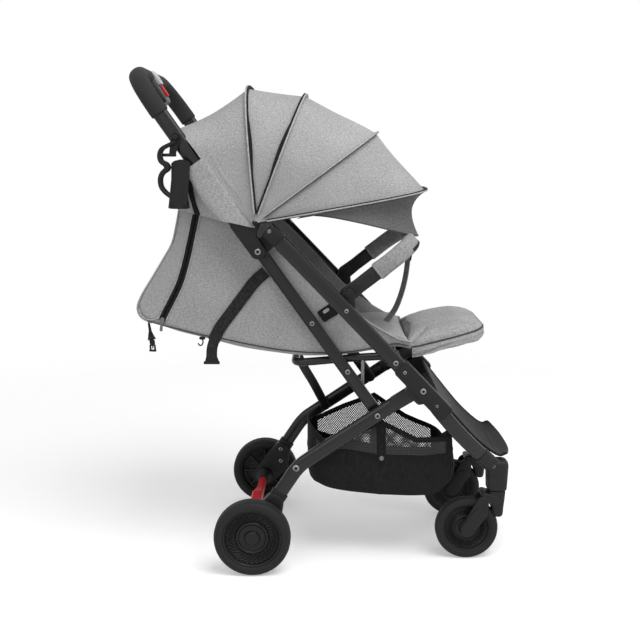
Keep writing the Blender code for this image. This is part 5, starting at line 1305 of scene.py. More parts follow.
def dress(pad, finish, body, replaces):
    """Gives a swollen pad its cover, the nodes it stands for, and the body it rides on."""
    pad.data.materials.clear()
    pad.data.materials.append(finish)
    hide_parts(*replaces)
    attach(pad, body)
    if body != "leg_rest":
        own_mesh(pad)


def press(pad, lines, depth, width):
    """Sews channels: points near a line sink, by the depth times a bell over the width."""
    points = vertex_rows(pad.data, "co")
    normals = vertex_rows(pad.data, "normal")
    for line in lines:
        gap = nearest(points, line)
        points = points - normals * (depth * np.exp(-((gap / width) ** 2)))[:, None]
    pad.data.vertices.foreach_set("co", points.ravel())
    pad.data.update()


def cross_line(x, z, half_y, count=80):
    """A straight seam across a pad at one place of the side view."""
    return world((x, z)) + np.linspace(-half_y, half_y, count)[:, None] * Y_AXIS


PAD_OUTLINE = ((0.056, 0.448), (0.11, 0.442), (0.18, 0.446), (0.237, 0.454), (0.285, 0.46),
    (0.311, 0.456), (0.314, 0.464), (0.29, 0.474), (0.23, 0.4725), (0.17, 0.466), (0.11, 0.4615),
    (0.059, 0.463))
pad_channels = [cross_line(0.115, 0.464, 0.14), cross_line(0.2, 0.47, 0.14)]
seat_cushion = swollen("seat_cushion", pillow(PAD_OUTLINE, 0.142, 0.008), pad_channels, 0.0045)
press(seat_cushion, pad_channels, 0.003, 0.006)
dress(seat_cushion, melange_pad, "front_frame", ["seat_pad"])
BACK_OUTLINE = ((0.042, 0.453), (0.045, 0.466), (-0.011, 0.488), (-0.1, 0.526), (-0.168, 0.571),
    (-0.193, 0.563), (-0.187, 0.554), (-0.115, 0.51), (-0.02, 0.468))
back_channels = [cross_line(-0.055, 0.507, 0.136), cross_line(-0.115, 0.536, 0.136)]
back_cushion = swollen("back_cushion", pillow(BACK_OUTLINE, 0.139, 0.008, 0.03, 0.038), back_channels,
    0.0045)
press(back_cushion, back_channels, 0.0035, 0.0065)
dress(back_cushion, melange_pad, "backrest", ["backrest"])


# Leg rest
# A padded flap hinged to the front of the seat, round at its front corners. Piping follows the
# edge of its top, and the loose side band below it puckers along its hem.

LEG_OUTLINE = ((0.308, 0.449), (0.342, 0.443), (0.38, 0.447), (0.42, 0.455), (0.458, 0.465),
    (0.47, 0.479), (0.461, 0.493), (0.42, 0.4885), (0.385, 0.482), (0.342, 0.4735), (0.318, 0.464),
    (0.308, 0.456))
LEG_HALF_Y = 0.142
LEG_TIP = 0.47


def leg_rim(inset, rise, count=150):
    """The line round the leg rest's top, from the near hinge corner round the front to the far
    one: straight sides, and front corners of a quarter circle."""
    corner = 0.066
    half = LEG_HALF_Y - inset
    quarter = np.linspace(0.0, math.pi / 2, 16)
    side_x = np.linspace(0.32, LEG_TIP - corner, 24)
    near = np.stack([side_x, np.full(24, -half)], -1)
    bend = np.stack([LEG_TIP - corner - inset + corner * np.sin(quarter), -half + corner
        * (1 - np.cos(quarter))], -1)
    front = np.stack([np.full(20, LEG_TIP - inset), np.linspace(-half + corner, 0.0, 20)], -1)
    plan = np.concatenate([near, bend[1:], front[1:]])
    plan = np.concatenate([plan, plan[-2::-1] * (1.0, -1.0)])
    x = plan[:, 0]
    z = np.interp(x, (0.318, 0.37, 0.43, 0.47), (0.448, 0.4615, 0.477, 0.485)) + rise
    return evenly(world(xyz(x, plan[:, 1], z)), count)


leg_pad = swollen("leg_cushion", pillow(LEG_OUTLINE, LEG_HALF_Y, 0.009, 0.064, 0.308),
    [leg_rim(0.001, 0.0)], 0.0075, 0.0042, 5.0, 0.004)
dress(leg_pad, melange_pad, "leg_rest", ["leg_rest"])


def outwards(vectors, points, centre):
    """Vectors at points, turned round where they look towards the centre."""
    return vectors * np.sign((vectors * (points - centre)).sum(1))[:, None]


def laid_on(pad, line, lift):
    """A line moved to the nearest place on a pad, and lifted off it."""
    placed = []
    for point in line:
        _, spot, normal, _ = pad.closest_point_on_mesh(Vector(point))
        placed.append(spot + normal * lift)
    return np.array(placed)


leg_seam = laid_on(leg_pad, leg_rim(0.0, 0.0), 0.0004)
leg_seam = flowing(leg_seam[::3], 3)
make_piece("leg_rest_piping", [carried(leg_seam, 0.0019, 0.0019, UP, 12)], piping_dark, "leg_rest")
band_top = flowing(leg_seam[::2], 2)
outward = outwards(beside(band_top, UP), band_top, world((0.39, 0.0)))
band_share = np.linspace(0.0, 1.0, 16)[:, None]
along_band = run_along(band_top)
puff = 0.003 * ripple(along_band[None] * 4, band_share * 0.9 + along_band[None], 1.4, 13.0) * band_share
puff = puff + 0.0016 * np.sin(math.pi * band_share)
band_drop = 0.02 + 0.0022 * ripple(along_band * 5, along_band * 0, 2.2, 15.0)
band = band_top[None] - UP * (band_share * band_drop[None])[..., None] + outward[None] * puff[..., None]
skirt = make_piece("leg_rest_band", [thick_sheet(band, 0.0016)], melange, "leg_rest")
cloth_sheet(skirt, "hung", [leg_pad], band)
make_piece("leg_rest_hem", [carried(band[-1], 0.0012, 0.0013, UP, 10, 2.0, 0.001)], piping_grey, "leg_rest")


# Straps
# Woven webbing: the grey crotch strap up to the bumper bar, a black tension strap sewn over each
# side of the tub, and the backrest's recline strap with its side-release buckle.

webbing = woven("webbing", "black_fabric", (0.006, 0.006, 0.006), (0.03, 0.03, 0.032), 1.8, 0.0015)
webbing_grey = woven("webbing_grey", "black_fabric", (0.15, 0.15, 0.153), (0.32, 0.32, 0.325), 1.6, 0.0018)
crotch = evenly(world(((0.325, 0.641), (0.3225, 0.624), (0.32, 0.608), (0.317, 0.582), (0.312, 0.556),
    (0.305, 0.531), (0.296, 0.508), (0.285, 0.49), (0.274, 0.477))), 90)
crotch_face = unit(np.cross(np.gradient(crotch, axis=0), Y_AXIS)
    / np.linalg.norm(np.gradient(crotch, axis=0), axis=1)[:, None] + 0.32 * Y_AXIS)
crotch_strap = make_piece("crotch_strap_webbing", [tape(crotch, 0.026, 0.0024, crotch_face, sides=20)],
    webbing_grey, None, ["crotch_strap"])
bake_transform(crotch_strap)
for side_name, side in SIDES:
    tab = slab([(0.133, 0.522, 0.003), (0.156, 0.538, 0.003), (0.144, 0.506, 0.003),
        (0.168, 0.521, 0.003)], side * 0.1546, side * 0.1572, 0.0008, 72)
    make_piece(f"snap_tab_{side_name}", [tab], black_tape, "front_frame", limp=True)
    snap = slab([(0.144, 0.524, 0.0034), (0.15, 0.528, 0.0034)], side * 0.157, side * 0.1582, 0.0006,
        48)
    make_piece(f"snap_buckle_{side_name}", [snap], zinc, "front_frame", limp=True)
SIDE_STRAP = ((0.028, 0.603), (0.006, 0.583), (-0.015, 0.556), (-0.037, 0.527), (-0.056, 0.502),
    (-0.068, 0.484), (-0.077, 0.464))
for side_name, side in SIDES:
    lift = 0.0016
    line = on_wall(SIDE_STRAP, side, lift, 60)
    tail = evenly(world([(-0.0745, side * 0.1545, 0.47), (-0.08, side * 0.1548, 0.452),
        (-0.0815, side * 0.155, 0.436), (-0.0812, side * 0.1552, 0.42)]), 24)
    half = np.interp(np.linspace(0, 1, 24), (0.0, 0.75, 1.0), (0.0105, 0.011, 0.015))
    band = tape(line, 0.024, 0.0018, Y_AXIS, sides=20)
    hang = carried(tail, half, 0.001, Y_AXIS, 20, 5.0)
    lip = carried([tail[-1] - (0.0165, 0.0, 0.0), tail[-1] + (0.0155, 0.0, 0.0)], 0.003, 0.0022, Y_AXIS,
        16, 3.0, 0.001)
    names = ["side_strap"] if side_name == "right" else []
    make_piece(f"side_strap_{side_name}_webbing", [band, hang, lip], webbing, "front_frame", names,
        limp=True)
recline = evenly(world([(-0.2085, 0.499), (-0.2065, 0.486), (-0.205, 0.474), (-0.203, 0.464)]),
    30) - 0.14 * Y_AXIS
recline_half = np.interp(np.linspace(0, 1, 30), (0.0, 0.5, 1.0), (0.002, 0.003, 0.0085))
buckle = [slab([(-0.205, 0.461, 0.003), (-0.2005, 0.461, 0.003), (-0.202, 0.456, 0.005)], -0.137,
    -0.143, 0.0012, 48), slab([(-0.2065, 0.452, 0.0018), (-0.206, 0.442, 0.0018)], -0.138, -0.142,
    0.001, 32), slab([(-0.1975, 0.452, 0.0018), (-0.1968, 0.442, 0.0018)], -0.138, -0.142, 0.001, 32),
    slab([(-0.207, 0.442, 0.002), (-0.1965, 0.4415, 0.002)], -0.1375, -0.1425, 0.001, 32),
    slab([(-0.2018, 0.454, 0.0012), (-0.2016, 0.447, 0.0012)], -0.1385, -0.1415, 0.0008, 24)]
make_piece("recline_strap_webbing", [carried(recline, recline_half, 0.0011, Y_AXIS, 20, 5.0)], webbing,
    "front_frame", ["recline_strap"], limp=True)
make_piece("recline_buckle", buckle, clip_plastic, "front_frame", limp=True)


# Hood
# Melange cloth sewn over four flat bows that fan out from hinges on the handle tubes. Each
# seam stands up as a fin; the black strip beside it is painted shade of the gap between fin and
# cloth, and the front bow carries a curled peak.

HUB = (0.0125, 0.703)
BOW_Y = 0.2085
BOW_POWER = 0.62
BOWS = ((95.0, 0.257), (69.0, 0.2575), (36.0, 0.288), (9.6, 0.338))
EYE_Y = 0.2024
EYE_STEP = 0.0024
HOOD_GROW = 0.002
on_handle = side_line(HANDLE_PIVOT, 124.9, -1.0)
HANDLE_NORMAL = on_handle(0.0, 1.0) - on_handle(0.0, 0.0)


def bow_point(degrees, reach, around, grow=0.0):
    """Points of an arch at an angle round the hub, from the right end at 0 to the left at 1. The
    arch is a superellipse: side and height are powers of the cosine and sine."""
    turn = math.pi * np.asarray(around, float)
    spread = -np.cos(turn)
    side = powered(spread, BOW_POWER) * (BOW_Y + grow)
    out = np.clip(np.sin(turn), 0.0, 1.0) ** BOW_POWER * (reach + grow)
    degrees = np.radians(degrees)
    return xyz(HUB[0] - X_CENTRE + out * np.cos(degrees), side, HUB[1] + out * np.sin(degrees))


def arch(low, count):
    """Stations along an arch, crowded together towards its two ends."""
    share = np.linspace(low, 1 - low, count)
    return 0.5 - 0.5 * np.cos(math.pi * share)


def hood_frame(degrees):
    turn = math.radians(degrees)
    return np.array((-math.sin(turn), 0.0, math.cos(turn)))


HOOD_COLUMNS = 131
PANEL_ROWS = 44
hub = world(HUB)
around = arch(0.012, HOOD_COLUMNS)
near_hub = np.clip((0.022 - bow_point(90.0, 0.264, around)[:, 2] + HUB[1]) / 0.022, 0.0, 1.0)


def from_hub(points):
    """How far points lie from the hub in the side view."""
    return np.linalg.norm((points - hub) * (1.0, 0.0, 1.0), axis=-1)


def pulled_in(points, share, sag):
    """Cloth under tension: points between two bows move towards the hub, most in the middle."""
    way = (hub - points) * (1.0, 0.0, 1.0)
    away = np.linalg.norm(way, axis=-1, keepdims=True)
    pull = sag * np.minimum(away / 0.26, 1.0) * np.sin(math.pi * share)[..., None]
    return points + way / np.maximum(away, 1e-6) * pull


def hood_panel(low, high, sag, wrinkles, seed):
    """The cloth between two bows, with fine wrinkles that fan out from the hub low down."""
    share = np.linspace(0.0, 1.0, PANEL_ROWS)[:, None] + np.zeros((1, HOOD_COLUMNS))
    degrees = low[0] + (high[0] - low[0]) * share
    reach = low[1] + (high[1] - low[1]) * share
    points = bow_point(degrees, reach, around[None], HOOD_GROW)
    points[..., 1] += np.sign(points[..., 1]) * 0.0022 * near_hub
    points = pulled_in(points, share, sag)
    away = from_hub(points)
    normal = grid_normal(points)
    low_down = np.clip((0.2 - away) / 0.1, 0.0, 1.0) * np.clip((away - 0.03) / 0.03, 0.0, 1.0)
    fold = np.cos(2 * math.pi * (away / 0.0125 + 1.1 * share + ripple(share, away * 4, seed, 5.0)))
    fold = np.maximum(fold, 0.0) ** 2 * (0.4 + 0.6
        * ripple(share * 0.6, away * 9, seed + 1.0, 7.0).clip(0, 1))
    rise = wrinkles * fold * low_down * np.sin(math.pi * share) ** 0.7
    rise = rise + 0.0007 * ripple(points[..., 0] + points[..., 1], points[..., 2], seed + 2.0,
        16.0) * (np.sin(math.pi * share))
    return points - normal * rise[..., None]


HEM_Y = 0.203
HEM_CLIMB = 30
HEM_ARCH = HOOD_COLUMNS - 2 * HEM_CLIMB
climb_share = np.arange(HEM_CLIMB) / HEM_CLIMB
climb = on_handle(0.041 + 0.149 * climb_share, 0.022 - 0.008 * climb_share, -HEM_Y - HOOD_GROW)
turn = math.pi * np.arange(HEM_ARCH) / (HEM_ARCH - 1)
HEM_POWER = 0.42
hem_arch = on_handle(0.19 + 0.094 * np.sin(turn).clip(0.0) ** HEM_POWER, 0.014 - 0.016 * np.sin(turn)
    ** 2, -(HEM_Y + HOOD_GROW) * powered(np.cos(turn), HEM_POWER))
rear_hem = np.concatenate([climb, hem_arch, (climb * (1.0, -1.0, 1.0))[::-1]])
first_bow = bow_point(BOWS[0][0], BOWS[0][1], around, HOOD_GROW)
share = np.linspace(0.0, 1.0, PANEL_ROWS)[:, None] + np.zeros((1, HOOD_COLUMNS))
rear = rear_hem[None] + (first_bow - rear_hem)[None] * share[..., None]
rear[..., 1] += np.sign(rear[..., 1]) * 0.0022 * near_hub
rear = pulled_in(rear, share, 0.0085)
normal = grid_normal(rear)
away = from_hub(rear)
drag = np.maximum(np.cos(2 * math.pi * (share * 3.2 + away * 6 + ripple(share, away * 3, 0.3, 4.0))), 0)
drag = drag**2 * np.clip((0.45 - share) / 0.3, 0.0, 1.0) * np.clip((0.2 - away) / 0.08, 0.0, 1.0)
rear = rear - normal * (0.0018 * drag * np.sin(math.pi * share) ** 0.5 + 0.0008
    * np.sin(math.pi * share) * ripple(rear[..., 0] + rear[..., 1], rear[..., 2], 0.8, 14.0))[..., None]
CLOTH = 0.0016
hood_rear = make_piece("hood_rear", [thick_sheet(rear, CLOTH)], melange, "handle", ["canopy_rear"])
cloth_sheet(hood_rear, "stretched", ["canopy_bow_1"], rear)
LEADERS = ("handle", "canopy_second", "canopy_third", "canopy_front")
FULL_TURN = (0.0, 15.0, 37.0, 50.5)
PANEL_LOOKS = ((0.0075, 0.0008, 1.1), (0.0125, 0.0022, 2.3), (0.0125, 0.0018, 3.2))
for number, (sag, wrinkles, seed) in enumerate(PANEL_LOOKS):
    low, high = BOWS[number], BOWS[number + 1]
    points = hood_panel(low, high, sag, wrinkles, seed)
    panel = make_piece(f"hood_panel_{number + 1}", [thick_sheet(points, CLOTH)], melange, None,
        [f"canopy_panel_{number + 1}"])
    cloth_sheet(panel, "stretched", [f"canopy_bow_{number + 1}", f"canopy_bow_{number + 2}"], points)
    leader = LEADERS[number + 1]
    start_share = FULL_TURN[number] / FULL_TURN[number + 1]
    far_point = bow_point(high[0], high[1], 0.5)
    near_point = bow_point(low[0], low[1], 0.5)
    share = np.linspace(0.0, 1.0, 201)
    smooth = share * share * (3 - 2 * share)
    entry = float(np.interp(start_share, smooth, share))
    start = near_point - (far_point - near_point) * entry / (1 - entry)
    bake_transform(panel)
FIN_LIFT = 0.0042
# For each bow: the fin's half thickness, the half thickness of the black strip beside it (painted shade of
# the gap between fin and cloth), and the side the strip lies on.
FIN_LOOKS = ((0.0018, 0.0017, -1.0), (0.0017, 0.0018, 1.0), (0.0014, 0.0005, -1.0), (0.0016, 0.0009, 1.0))
for number, (degrees, reach) in enumerate(BOWS):
    leader = LEADERS[number]
    path = bow_point(degrees, reach, arch(0.04, 160), HOOD_GROW + FIN_LIFT)
    facing = hood_frame(degrees)
    low_share = np.clip((0.2 - from_hub(path)) / 0.17, 0.0, 1.0)
    light_half, gap_shade_half, way = FIN_LOOKS[number]
    # On the two rear bows the painted shade strip is drawn wider part way out from the hub.
    gap_shade_half = gap_shade_half * (1 + 0.9 * np.sin(math.pi * np.minimum(low_share * 1.6, 1.0)) * (number < 2))
    light = carried(path, 0.0042, light_half, facing, 12, 4.0, 0.001)
    dark = carried(path + facing * (way * (light_half + gap_shade_half))[:, None], 0.0036, gap_shade_half, facing,
        12, 3.0, 0.0005)
    make_piece(f"hood_fin_{number + 1}", [light], piping_grey, leader)
    make_piece(f"hood_gap_shade_{number + 1}", [dark], black_tape, leader)
    hoop = bow_point(degrees, reach, arch(0.05, 90))
    eye_y = EYE_Y + EYE_STEP * number
    radial = np.array((math.cos(math.radians(degrees)), 0.0, math.sin(math.radians(degrees))))
    ends = [hub + Y_AXIS * side * eye_y + radial * out for side, out
        in ((-1, 0.0), (-1, 0.034), (1, 0.034), (1, 0.0))]
    whole = np.concatenate([ends[:2], hoop, ends[2:]])
    strip = carried(whole, 0.001, 0.0032, facing, 12, 6.0)
    eyes = [slab([(HUB[0], HUB[1], 0.006)], side * (eye_y - 0.001), side * (eye_y + 0.001), 0.0004, 32)
        for side in (-1.0, 1.0)]
    make_piece(f"hood_bow_{number + 1}", [strip, *eyes], clip_plastic, leader,
        [f"canopy_bow_{number + 1}"])

# The peak's cloth is the melange made darker: painted shade for the peak that hangs under the front bow.
melange_peak_painted_shade = woven("grey_melange_peak", "melange_fabric", (0.06, 0.06, 0.061), (0.175, 0.175, 0.177), 1.8)
peak_around = arch(0.125, 101)
front_degrees, front_reach = BOWS[3]
front_facing = hood_frame(front_degrees)
top_edge = bow_point(front_degrees, front_reach, peak_around, HOOD_GROW) - front_facing * 0.003
share = np.linspace(0.0, 1.0, 26)[:, None]
out = from_hub(top_edge)[None]
drop = 0.004 + 0.086 * np.clip((out - 0.125) / 0.215, 0.0, 1.0) ** 1.2
curl = 0.021 * np.sin(math.pi * share**0.8) * drop / 0.09
spread = top_edge[None, :, 1] / BOW_Y
peak = top_edge[None] + xyz(-0.011 * share - curl, -0.6 * powered(spread, 2) * curl, -drop * share)
normal = grid_normal(peak)
peak = peak + normal * (0.0012 * np.sin(math.pi * share) * ripple(peak[..., 0] * 2 + peak[..., 1] * 2,
    peak[..., 2] * 2, 1.7, 16.0))[..., None]
visor = make_piece("hood_peak", [thick_sheet(peak, CLOTH)], melange_peak_painted_shade, "canopy_front", ["visor"])
cloth_sheet(visor, "stretched", ["canopy_bow_4"], peak)
make_piece("hood_peak_binding", [carried(peak[-1, 5:-5], 0.0014, 0.0014, UP, 12, 2.0, 0.001)],
    piping_dark, "canopy_front")

sleeve_share = np.linspace(0.0, 1.0, 60)[:, None]
sleeve_angle = np.radians(np.linspace(4.0, 215.0, 49))[None, :]
sleeve_across = powered(np.cos(sleeve_angle), 0.5)
sleeve_out = powered(np.sin(sleeve_angle), 0.5)
back_part = np.clip(-sleeve_across, 0.0, 1.0)
for side_name, side in SIDES:
    low_end = 0.0401 + 1.1 * (0.022 - 0.022 * sleeve_across)
    station = low_end + (0.204 - low_end) * (1 - sleeve_share)
    folds = np.maximum(np.cos(2 * math.pi * (station / 0.017 - sleeve_angle * 0.3)), 0.0) ** 2
    loose = 0.06 * folds * np.clip((station - 0.165) / 0.04, 0.0, 1.0)
    loose = loose + 0.03 * ripple(station * 5 + sleeve_angle * 0.1, sleeve_angle * 0.25, 2.7 + side, 9.0)
    flare = 1 + 0.38 * back_part * np.exp(-(((station - 0.14) / 0.05) ** 2))
    sleeve = on_handle(station, (0.022 + 0.02 * loose) * flare * sleeve_across,
        side * (0.194 + (0.013 + 0.02 * loose) * sleeve_out))
    cover = make_piece(f"hood_sleeve_{side_name}", [thick_sheet(sleeve, 0.0014)], melange, "handle")
    cloth_sheet(cover, "stretched", ["handle_tube"], sleeve)
    edge_top = np.array((-0.112, 0.812))
    edge_left = evenly([edge_top, (-0.127, 0.772), (-0.1425, 0.724)], 40)
    edge_right = evenly([edge_top, (-0.079, 0.748), (-0.028, 0.698)], 40)
    across = np.linspace(0.0, 1.0, 40)[None, :, None]
    plan = edge_left[:, None] + (edge_right - edge_left)[:, None] * across
    drop = np.linspace(0.0, 1.0, 40)[:, None]
    y = 0.199 - 0.043 * drop * (1 - across[..., 0] ** 2) - 0.004 * np.sin(math.pi * across[..., 0])
    y = y + 0.0015 * ripple(plan[..., 0] * 2, plan[..., 1] * 2, 1.6, 14.0)
    gusset_points = world(plan) + side * y[..., None] * Y_AXIS
    gusset = make_piece(f"hood_gusset_{side_name}", [thick_sheet(gusset_points, 0.0014)], melange, "handle")
    cloth_sheet(gusset, "hung", [cover], gusset_points)
    column = 14
    gusset_zip = gusset_points[6:, column] + Y_AXIS * side * 0.0016
    make_piece(f"hood_gusset_zip_{side_name}", [tape(gusset_zip, 0.014, 0.0016, Y_AXIS)], black_tape,
        "handle")


# Bumper bar
# A padded bar that plugs into brackets on the main tubes: moulded arms with a release button,
# an oval core, and a zipped melange cover round the front.

SOCKET = (0.19, 0.5625)
on_bar = side_line(SOCKET, 37.9)
BAR_Y = 0.18
BAR_REACH = 0.161
BAR_CORNER = 0.06
BAR_NORMAL = on_bar(0.0, 1.0) - on_bar(0.0, 0.0)


def bar_loop(start, steps=14):
    """The bar's centre line from one arm, round both quarter-circle corners, to the other."""
    angle = np.linspace(0.0, math.pi / 2, steps)
    station = np.concatenate([np.linspace(start, BAR_REACH - BAR_CORNER, 12)[:-1],
        BAR_REACH - BAR_CORNER + BAR_CORNER * np.sin(angle), np.full(14, BAR_REACH)])
    y = np.concatenate([np.full(11, -BAR_Y), -BAR_Y + BAR_CORNER * (1 - np.cos(angle)),
        np.linspace(-BAR_Y + BAR_CORNER, 0.0, 15)[1:]])
    return mirrored(on_bar(station, 0.0, y))


socket_plastic = moulded_plastic("socket_plastic", (0.01, 0.01, 0.011), 0.44)
bar_plastic = moulded_plastic("bar_plastic", (0.016, 0.016, 0.017), 0.4, 0.35)
foam_black = Finish("foam_black", "grip_foam")
cells = foam_black.noise(1300.0, 2.0, 0.6)
lumps = foam_black.noise(60.0, 2.0)
grip_foam = foam_black.finished(foam_black.shader(Base_Color=foam_black.colour(cells * 0.8 + lumps
    * 0.3, (0.006, 0.006, 0.006), (0.034, 0.033, 0.033)), Roughness=0.82, Specular_IOR_Level=0.25,
    Normal=foam_black.bump(cells + lumps * 0.5, 0.0005, 0.6)))
for side_name, side in SIDES:
    bracket = slab([*spots(on_tube, (0.2006, 0.0, 0.011), (0.2246, 0.0, 0.011)), (*SOCKET, 0.0125)],
        side * 0.1861, side * 0.1962, 0.002, 80)
    pin = slab([(*SOCKET, 0.006)], side * 0.173, side * 0.198, 0.001, 40)
    make_piece(f"bar_bracket_{side_name}_moulding", [bracket, pin], socket_plastic, "front_frame",
        [f"bar_bracket_{side_name}"])
arm_shapes = []
button_shapes = []
for side in (-1.0, 1.0):
    arm_shapes.append(slab([(*SOCKET, 0.016), *spots(on_bar, (0.03, 0.0, 0.0145))], side * 0.1743,
        side * 0.1857, 0.003, 80))
    arm_shapes.append(carried(on_bar(np.array((0.014, 0.02, 0.045, 0.072)), 0.0, side * BAR_Y),
        (0.0052, 0.006, 0.0066, 0.0068), (0.014, 0.0146, 0.015, 0.0152), BAR_NORMAL, 36, 3.4, 0.0015))
    arm_shapes.append(slab(spots(on_bar, (0.0595, 0.002, 0.0052), (0.0595, -0.006, 0.004)),
        side * 0.185, side * 0.1872, 0.0007, 40))
    button_shapes.append(slab(spots(on_bar, (0.004, 0.001, 0.0092), (0.023, 0.001, 0.008)),
        side * 0.185, side * 0.1876, 0.0014, 56))
bar_core = carried(bar_loop(0.03), 0.005, 0.0125, BAR_NORMAL, 36, 3.0)
make_piece("bumper_bar_moulding", [bar_core, *arm_shapes], bar_plastic, "bumper", ["bumper_bar"])
make_piece("bumper_buttons", button_shapes, socket_plastic, "bumper")
cover_path = bar_loop(0.07)
count = len(cover_path)
run = np.arange(count) / (count - 1)
full = 1 + 0.03 * ripple(run * 3, run, 1.2, 9.0)
cover_grid = carried(cover_path, 0.0104 * full, 0.0178 * full, BAR_NORMAL, 48, 2.6, 0.003)
melange_cover = woven("grey_melange_cover", "melange_fabric", (0.16, 0.16, 0.161),
    (0.345, 0.345, 0.348), 1.7, on_mesh=True)
cover = make_piece("bumper_cover_cloth", [cover_grid], melange_cover, "bumper", ["bumper_cover"])
outward = outwards(beside(cover_path, BAR_NORMAL), cover_path, on_bar(0.05))
zip_path = (cover_path + outward * 0.0086 - BAR_NORMAL * 0.0118)[18:-18]
tail = np.array([zip_path[1], zip_path[0] + (-0.004, 0.0, -0.008), zip_path[0] + (-0.006, 0.0, -0.02)])
make_piece("bumper_cover_zip", [tape(zip_path, 0.0064, 0.004, outward[18:-18] - BAR_NORMAL),
    carried(tail, 0.0016, 0.003, Y_AXIS, 12, rounded=0.001)], black_tape, "bumper")
for side_name, side in SIDES:
    place = on_bar(0.0715, 0.0, side * BAR_Y)
    lip = carried([place, on_bar(0.0745, 0.0, side * BAR_Y)], 0.0109, 0.0182, BAR_NORMAL, 48, 2.6,
        0.0012)
    make_piece(f"bumper_cover_hem_{side_name}", [lip], piping_grey, "bumper")


# Sliders
# Nylon sliders that run down the main tubes as the stroller folds. The handle end and the
# folding link are pinned to the arm of each.

slider_plastic = moulded_plastic("slider_plastic", (0.01, 0.01, 0.011), 0.46)
for side_name, side in SIDES:
    block = slab(spots(on_tube, (0.0, -0.011, 0.004), (0.0, 0.005, 0.0045), (0.006, 0.011, 0.004),
        (0.024, 0.011, 0.004), (0.024, -0.011, 0.004)), side * 0.173, side * 0.2168, 0.003, 96)
    panel = slab(spots(on_tube, (0.008, -0.005, 0.005), (0.008, 0.006, 0.0045), (0.02, 0.007, 0.004),
        (0.02, -0.006, 0.0045)), side * 0.215, side * 0.218, 0.0012, 64)
    arm = slab([(*HANDLE_PIVOT, 0.0148), *spots(on_tube, (0.0, -0.008, 0.004), (0.024, -0.008, 0.004))],
        side * 0.1728, side * 0.1832, 0.0016, 80)
    pin = slab([(*HANDLE_PIVOT, 0.005)], side * 0.1575, side * 0.204, 0.0008, 36)
    make_piece(f"slider_{side_name}_moulding", [block, panel, arm, pin], slider_plastic, "sliders",
        [f"slider_{side_name}"])
    make_piece(f"slider_screw_{side_name}", [bolt(*TUBE_TOP, side * 0.2172, side)], dark_bolt,
        "sliders")


# Handle
# An oval aluminium loop that hinges at the sliders, with moulded ends, two foam grips, and a
# moulded housing in the middle with the grey fold button and its red lock.

HANDLE_Y = 0.194
HANDLE_TOP = 0.409
HANDLE_CORNER = 0.084


def handle_loop(start, end_y=0.0, steps=24, straight=30):
    """The right half of the handle's centre line: up the leg, round the corner and in to end_y."""
    angle = np.linspace(0.0, math.pi / 2, steps)
    corner = HANDLE_TOP - HANDLE_CORNER
    leg = np.linspace(start, corner, straight)[:-1] if start < corner else np.zeros(0)
    run_in = np.linspace(-HANDLE_Y + HANDLE_CORNER, -end_y, 14)[1:]
    station = np.concatenate([leg, corner + HANDLE_CORNER * np.sin(angle), np.full(13, HANDLE_TOP)])
    y = np.concatenate([np.full(len(leg), -HANDLE_Y), -HANDLE_Y + HANDLE_CORNER * (1 - np.cos(angle)),
        run_in])
    return on_handle(station, 0.0, y)


handle_tube = carried(mirrored(handle_loop(0.06)), 0.009, 0.015, HANDLE_NORMAL, 40, 2.3)
make_piece("handle_tube_sprayed", [handle_tube], frame_black, "handle", ["handle_tube"])
end_plastic = moulded_plastic("end_plastic", (0.01, 0.01, 0.011), 0.45)
for side_name, side in SIDES:
    foot = slab([(*HANDLE_PIVOT, 0.015), *spots(on_handle, (0.0455, 0.0, 0.0138), (0.064, 0.0, 0.016))],
        side * 0.1852, side * 0.2028, 0.0022, 80)
    lobe = slab([(*HUB, 0.0085), *spots(on_handle, (0.03, 0.0, 0.0115))], side * 0.1858, side * 0.2022,
        0.0018, 64)
    post = slab([(*HUB, 0.003)], side * 0.2, side * 0.216, 0.0006, 28)
    make_piece(f"handle_end_{side_name}_moulding", [foot, lobe, post], end_plastic, "handle",
        [f"handle_end_{side_name}"])
    make_piece(f"handle_bolt_{side_name}", [bolt(*HANDLE_PIVOT, side * 0.2034, side, 0.0062, 0.0022)],
        zinc, "handle")
    grip_path = handle_loop(0.316, 0.0463, 30, 4) * (1.0, -side, 1.0)
    count = len(grip_path)
    swell = 1 + 0.012 * ripple(np.linspace(0, 3, count), np.zeros(count), 0.6, 4.0)
    grip = carried(grip_path, 0.0152 * swell, 0.0178 * swell, HANDLE_NORMAL, 48, 2.2, 0.003)
    make_piece(f"grip_{side_name}_foam", [grip], grip_foam, "handle", [f"grip_{side_name}"])

HOUSING = ((0.35, 0.029, 0.0085), (0.353, 0.0335, 0.0105), (0.357, 0.0362, 0.0115),
    (0.37, 0.0392, 0.0125), (0.384, 0.042, 0.0132), (0.398, 0.044, 0.0137), (0.408, 0.0452, 0.0138),
    (0.416, 0.0448, 0.0134), (0.4205, 0.0436, 0.0127), (0.424, 0.04, 0.0105), (0.425, 0.037, 0.009))


def along_handle(rings, power, sides=72, middle=0.0):
    """Superellipse rings (station, half y, half across) square to the handle's legs, one above
    the other. The middle across is the same for all, or a fourth number of each ring."""
    rings = np.array(rings, float)
    u, v = section(sides, power)
    if rings.shape[1] > 3:
        middle = rings[:, 3:4]
    return grid_shape(on_handle(rings[:, :1], middle + rings[:, 2:3] * v, rings[:, 1:2] * u),
        around=True, capped=True)


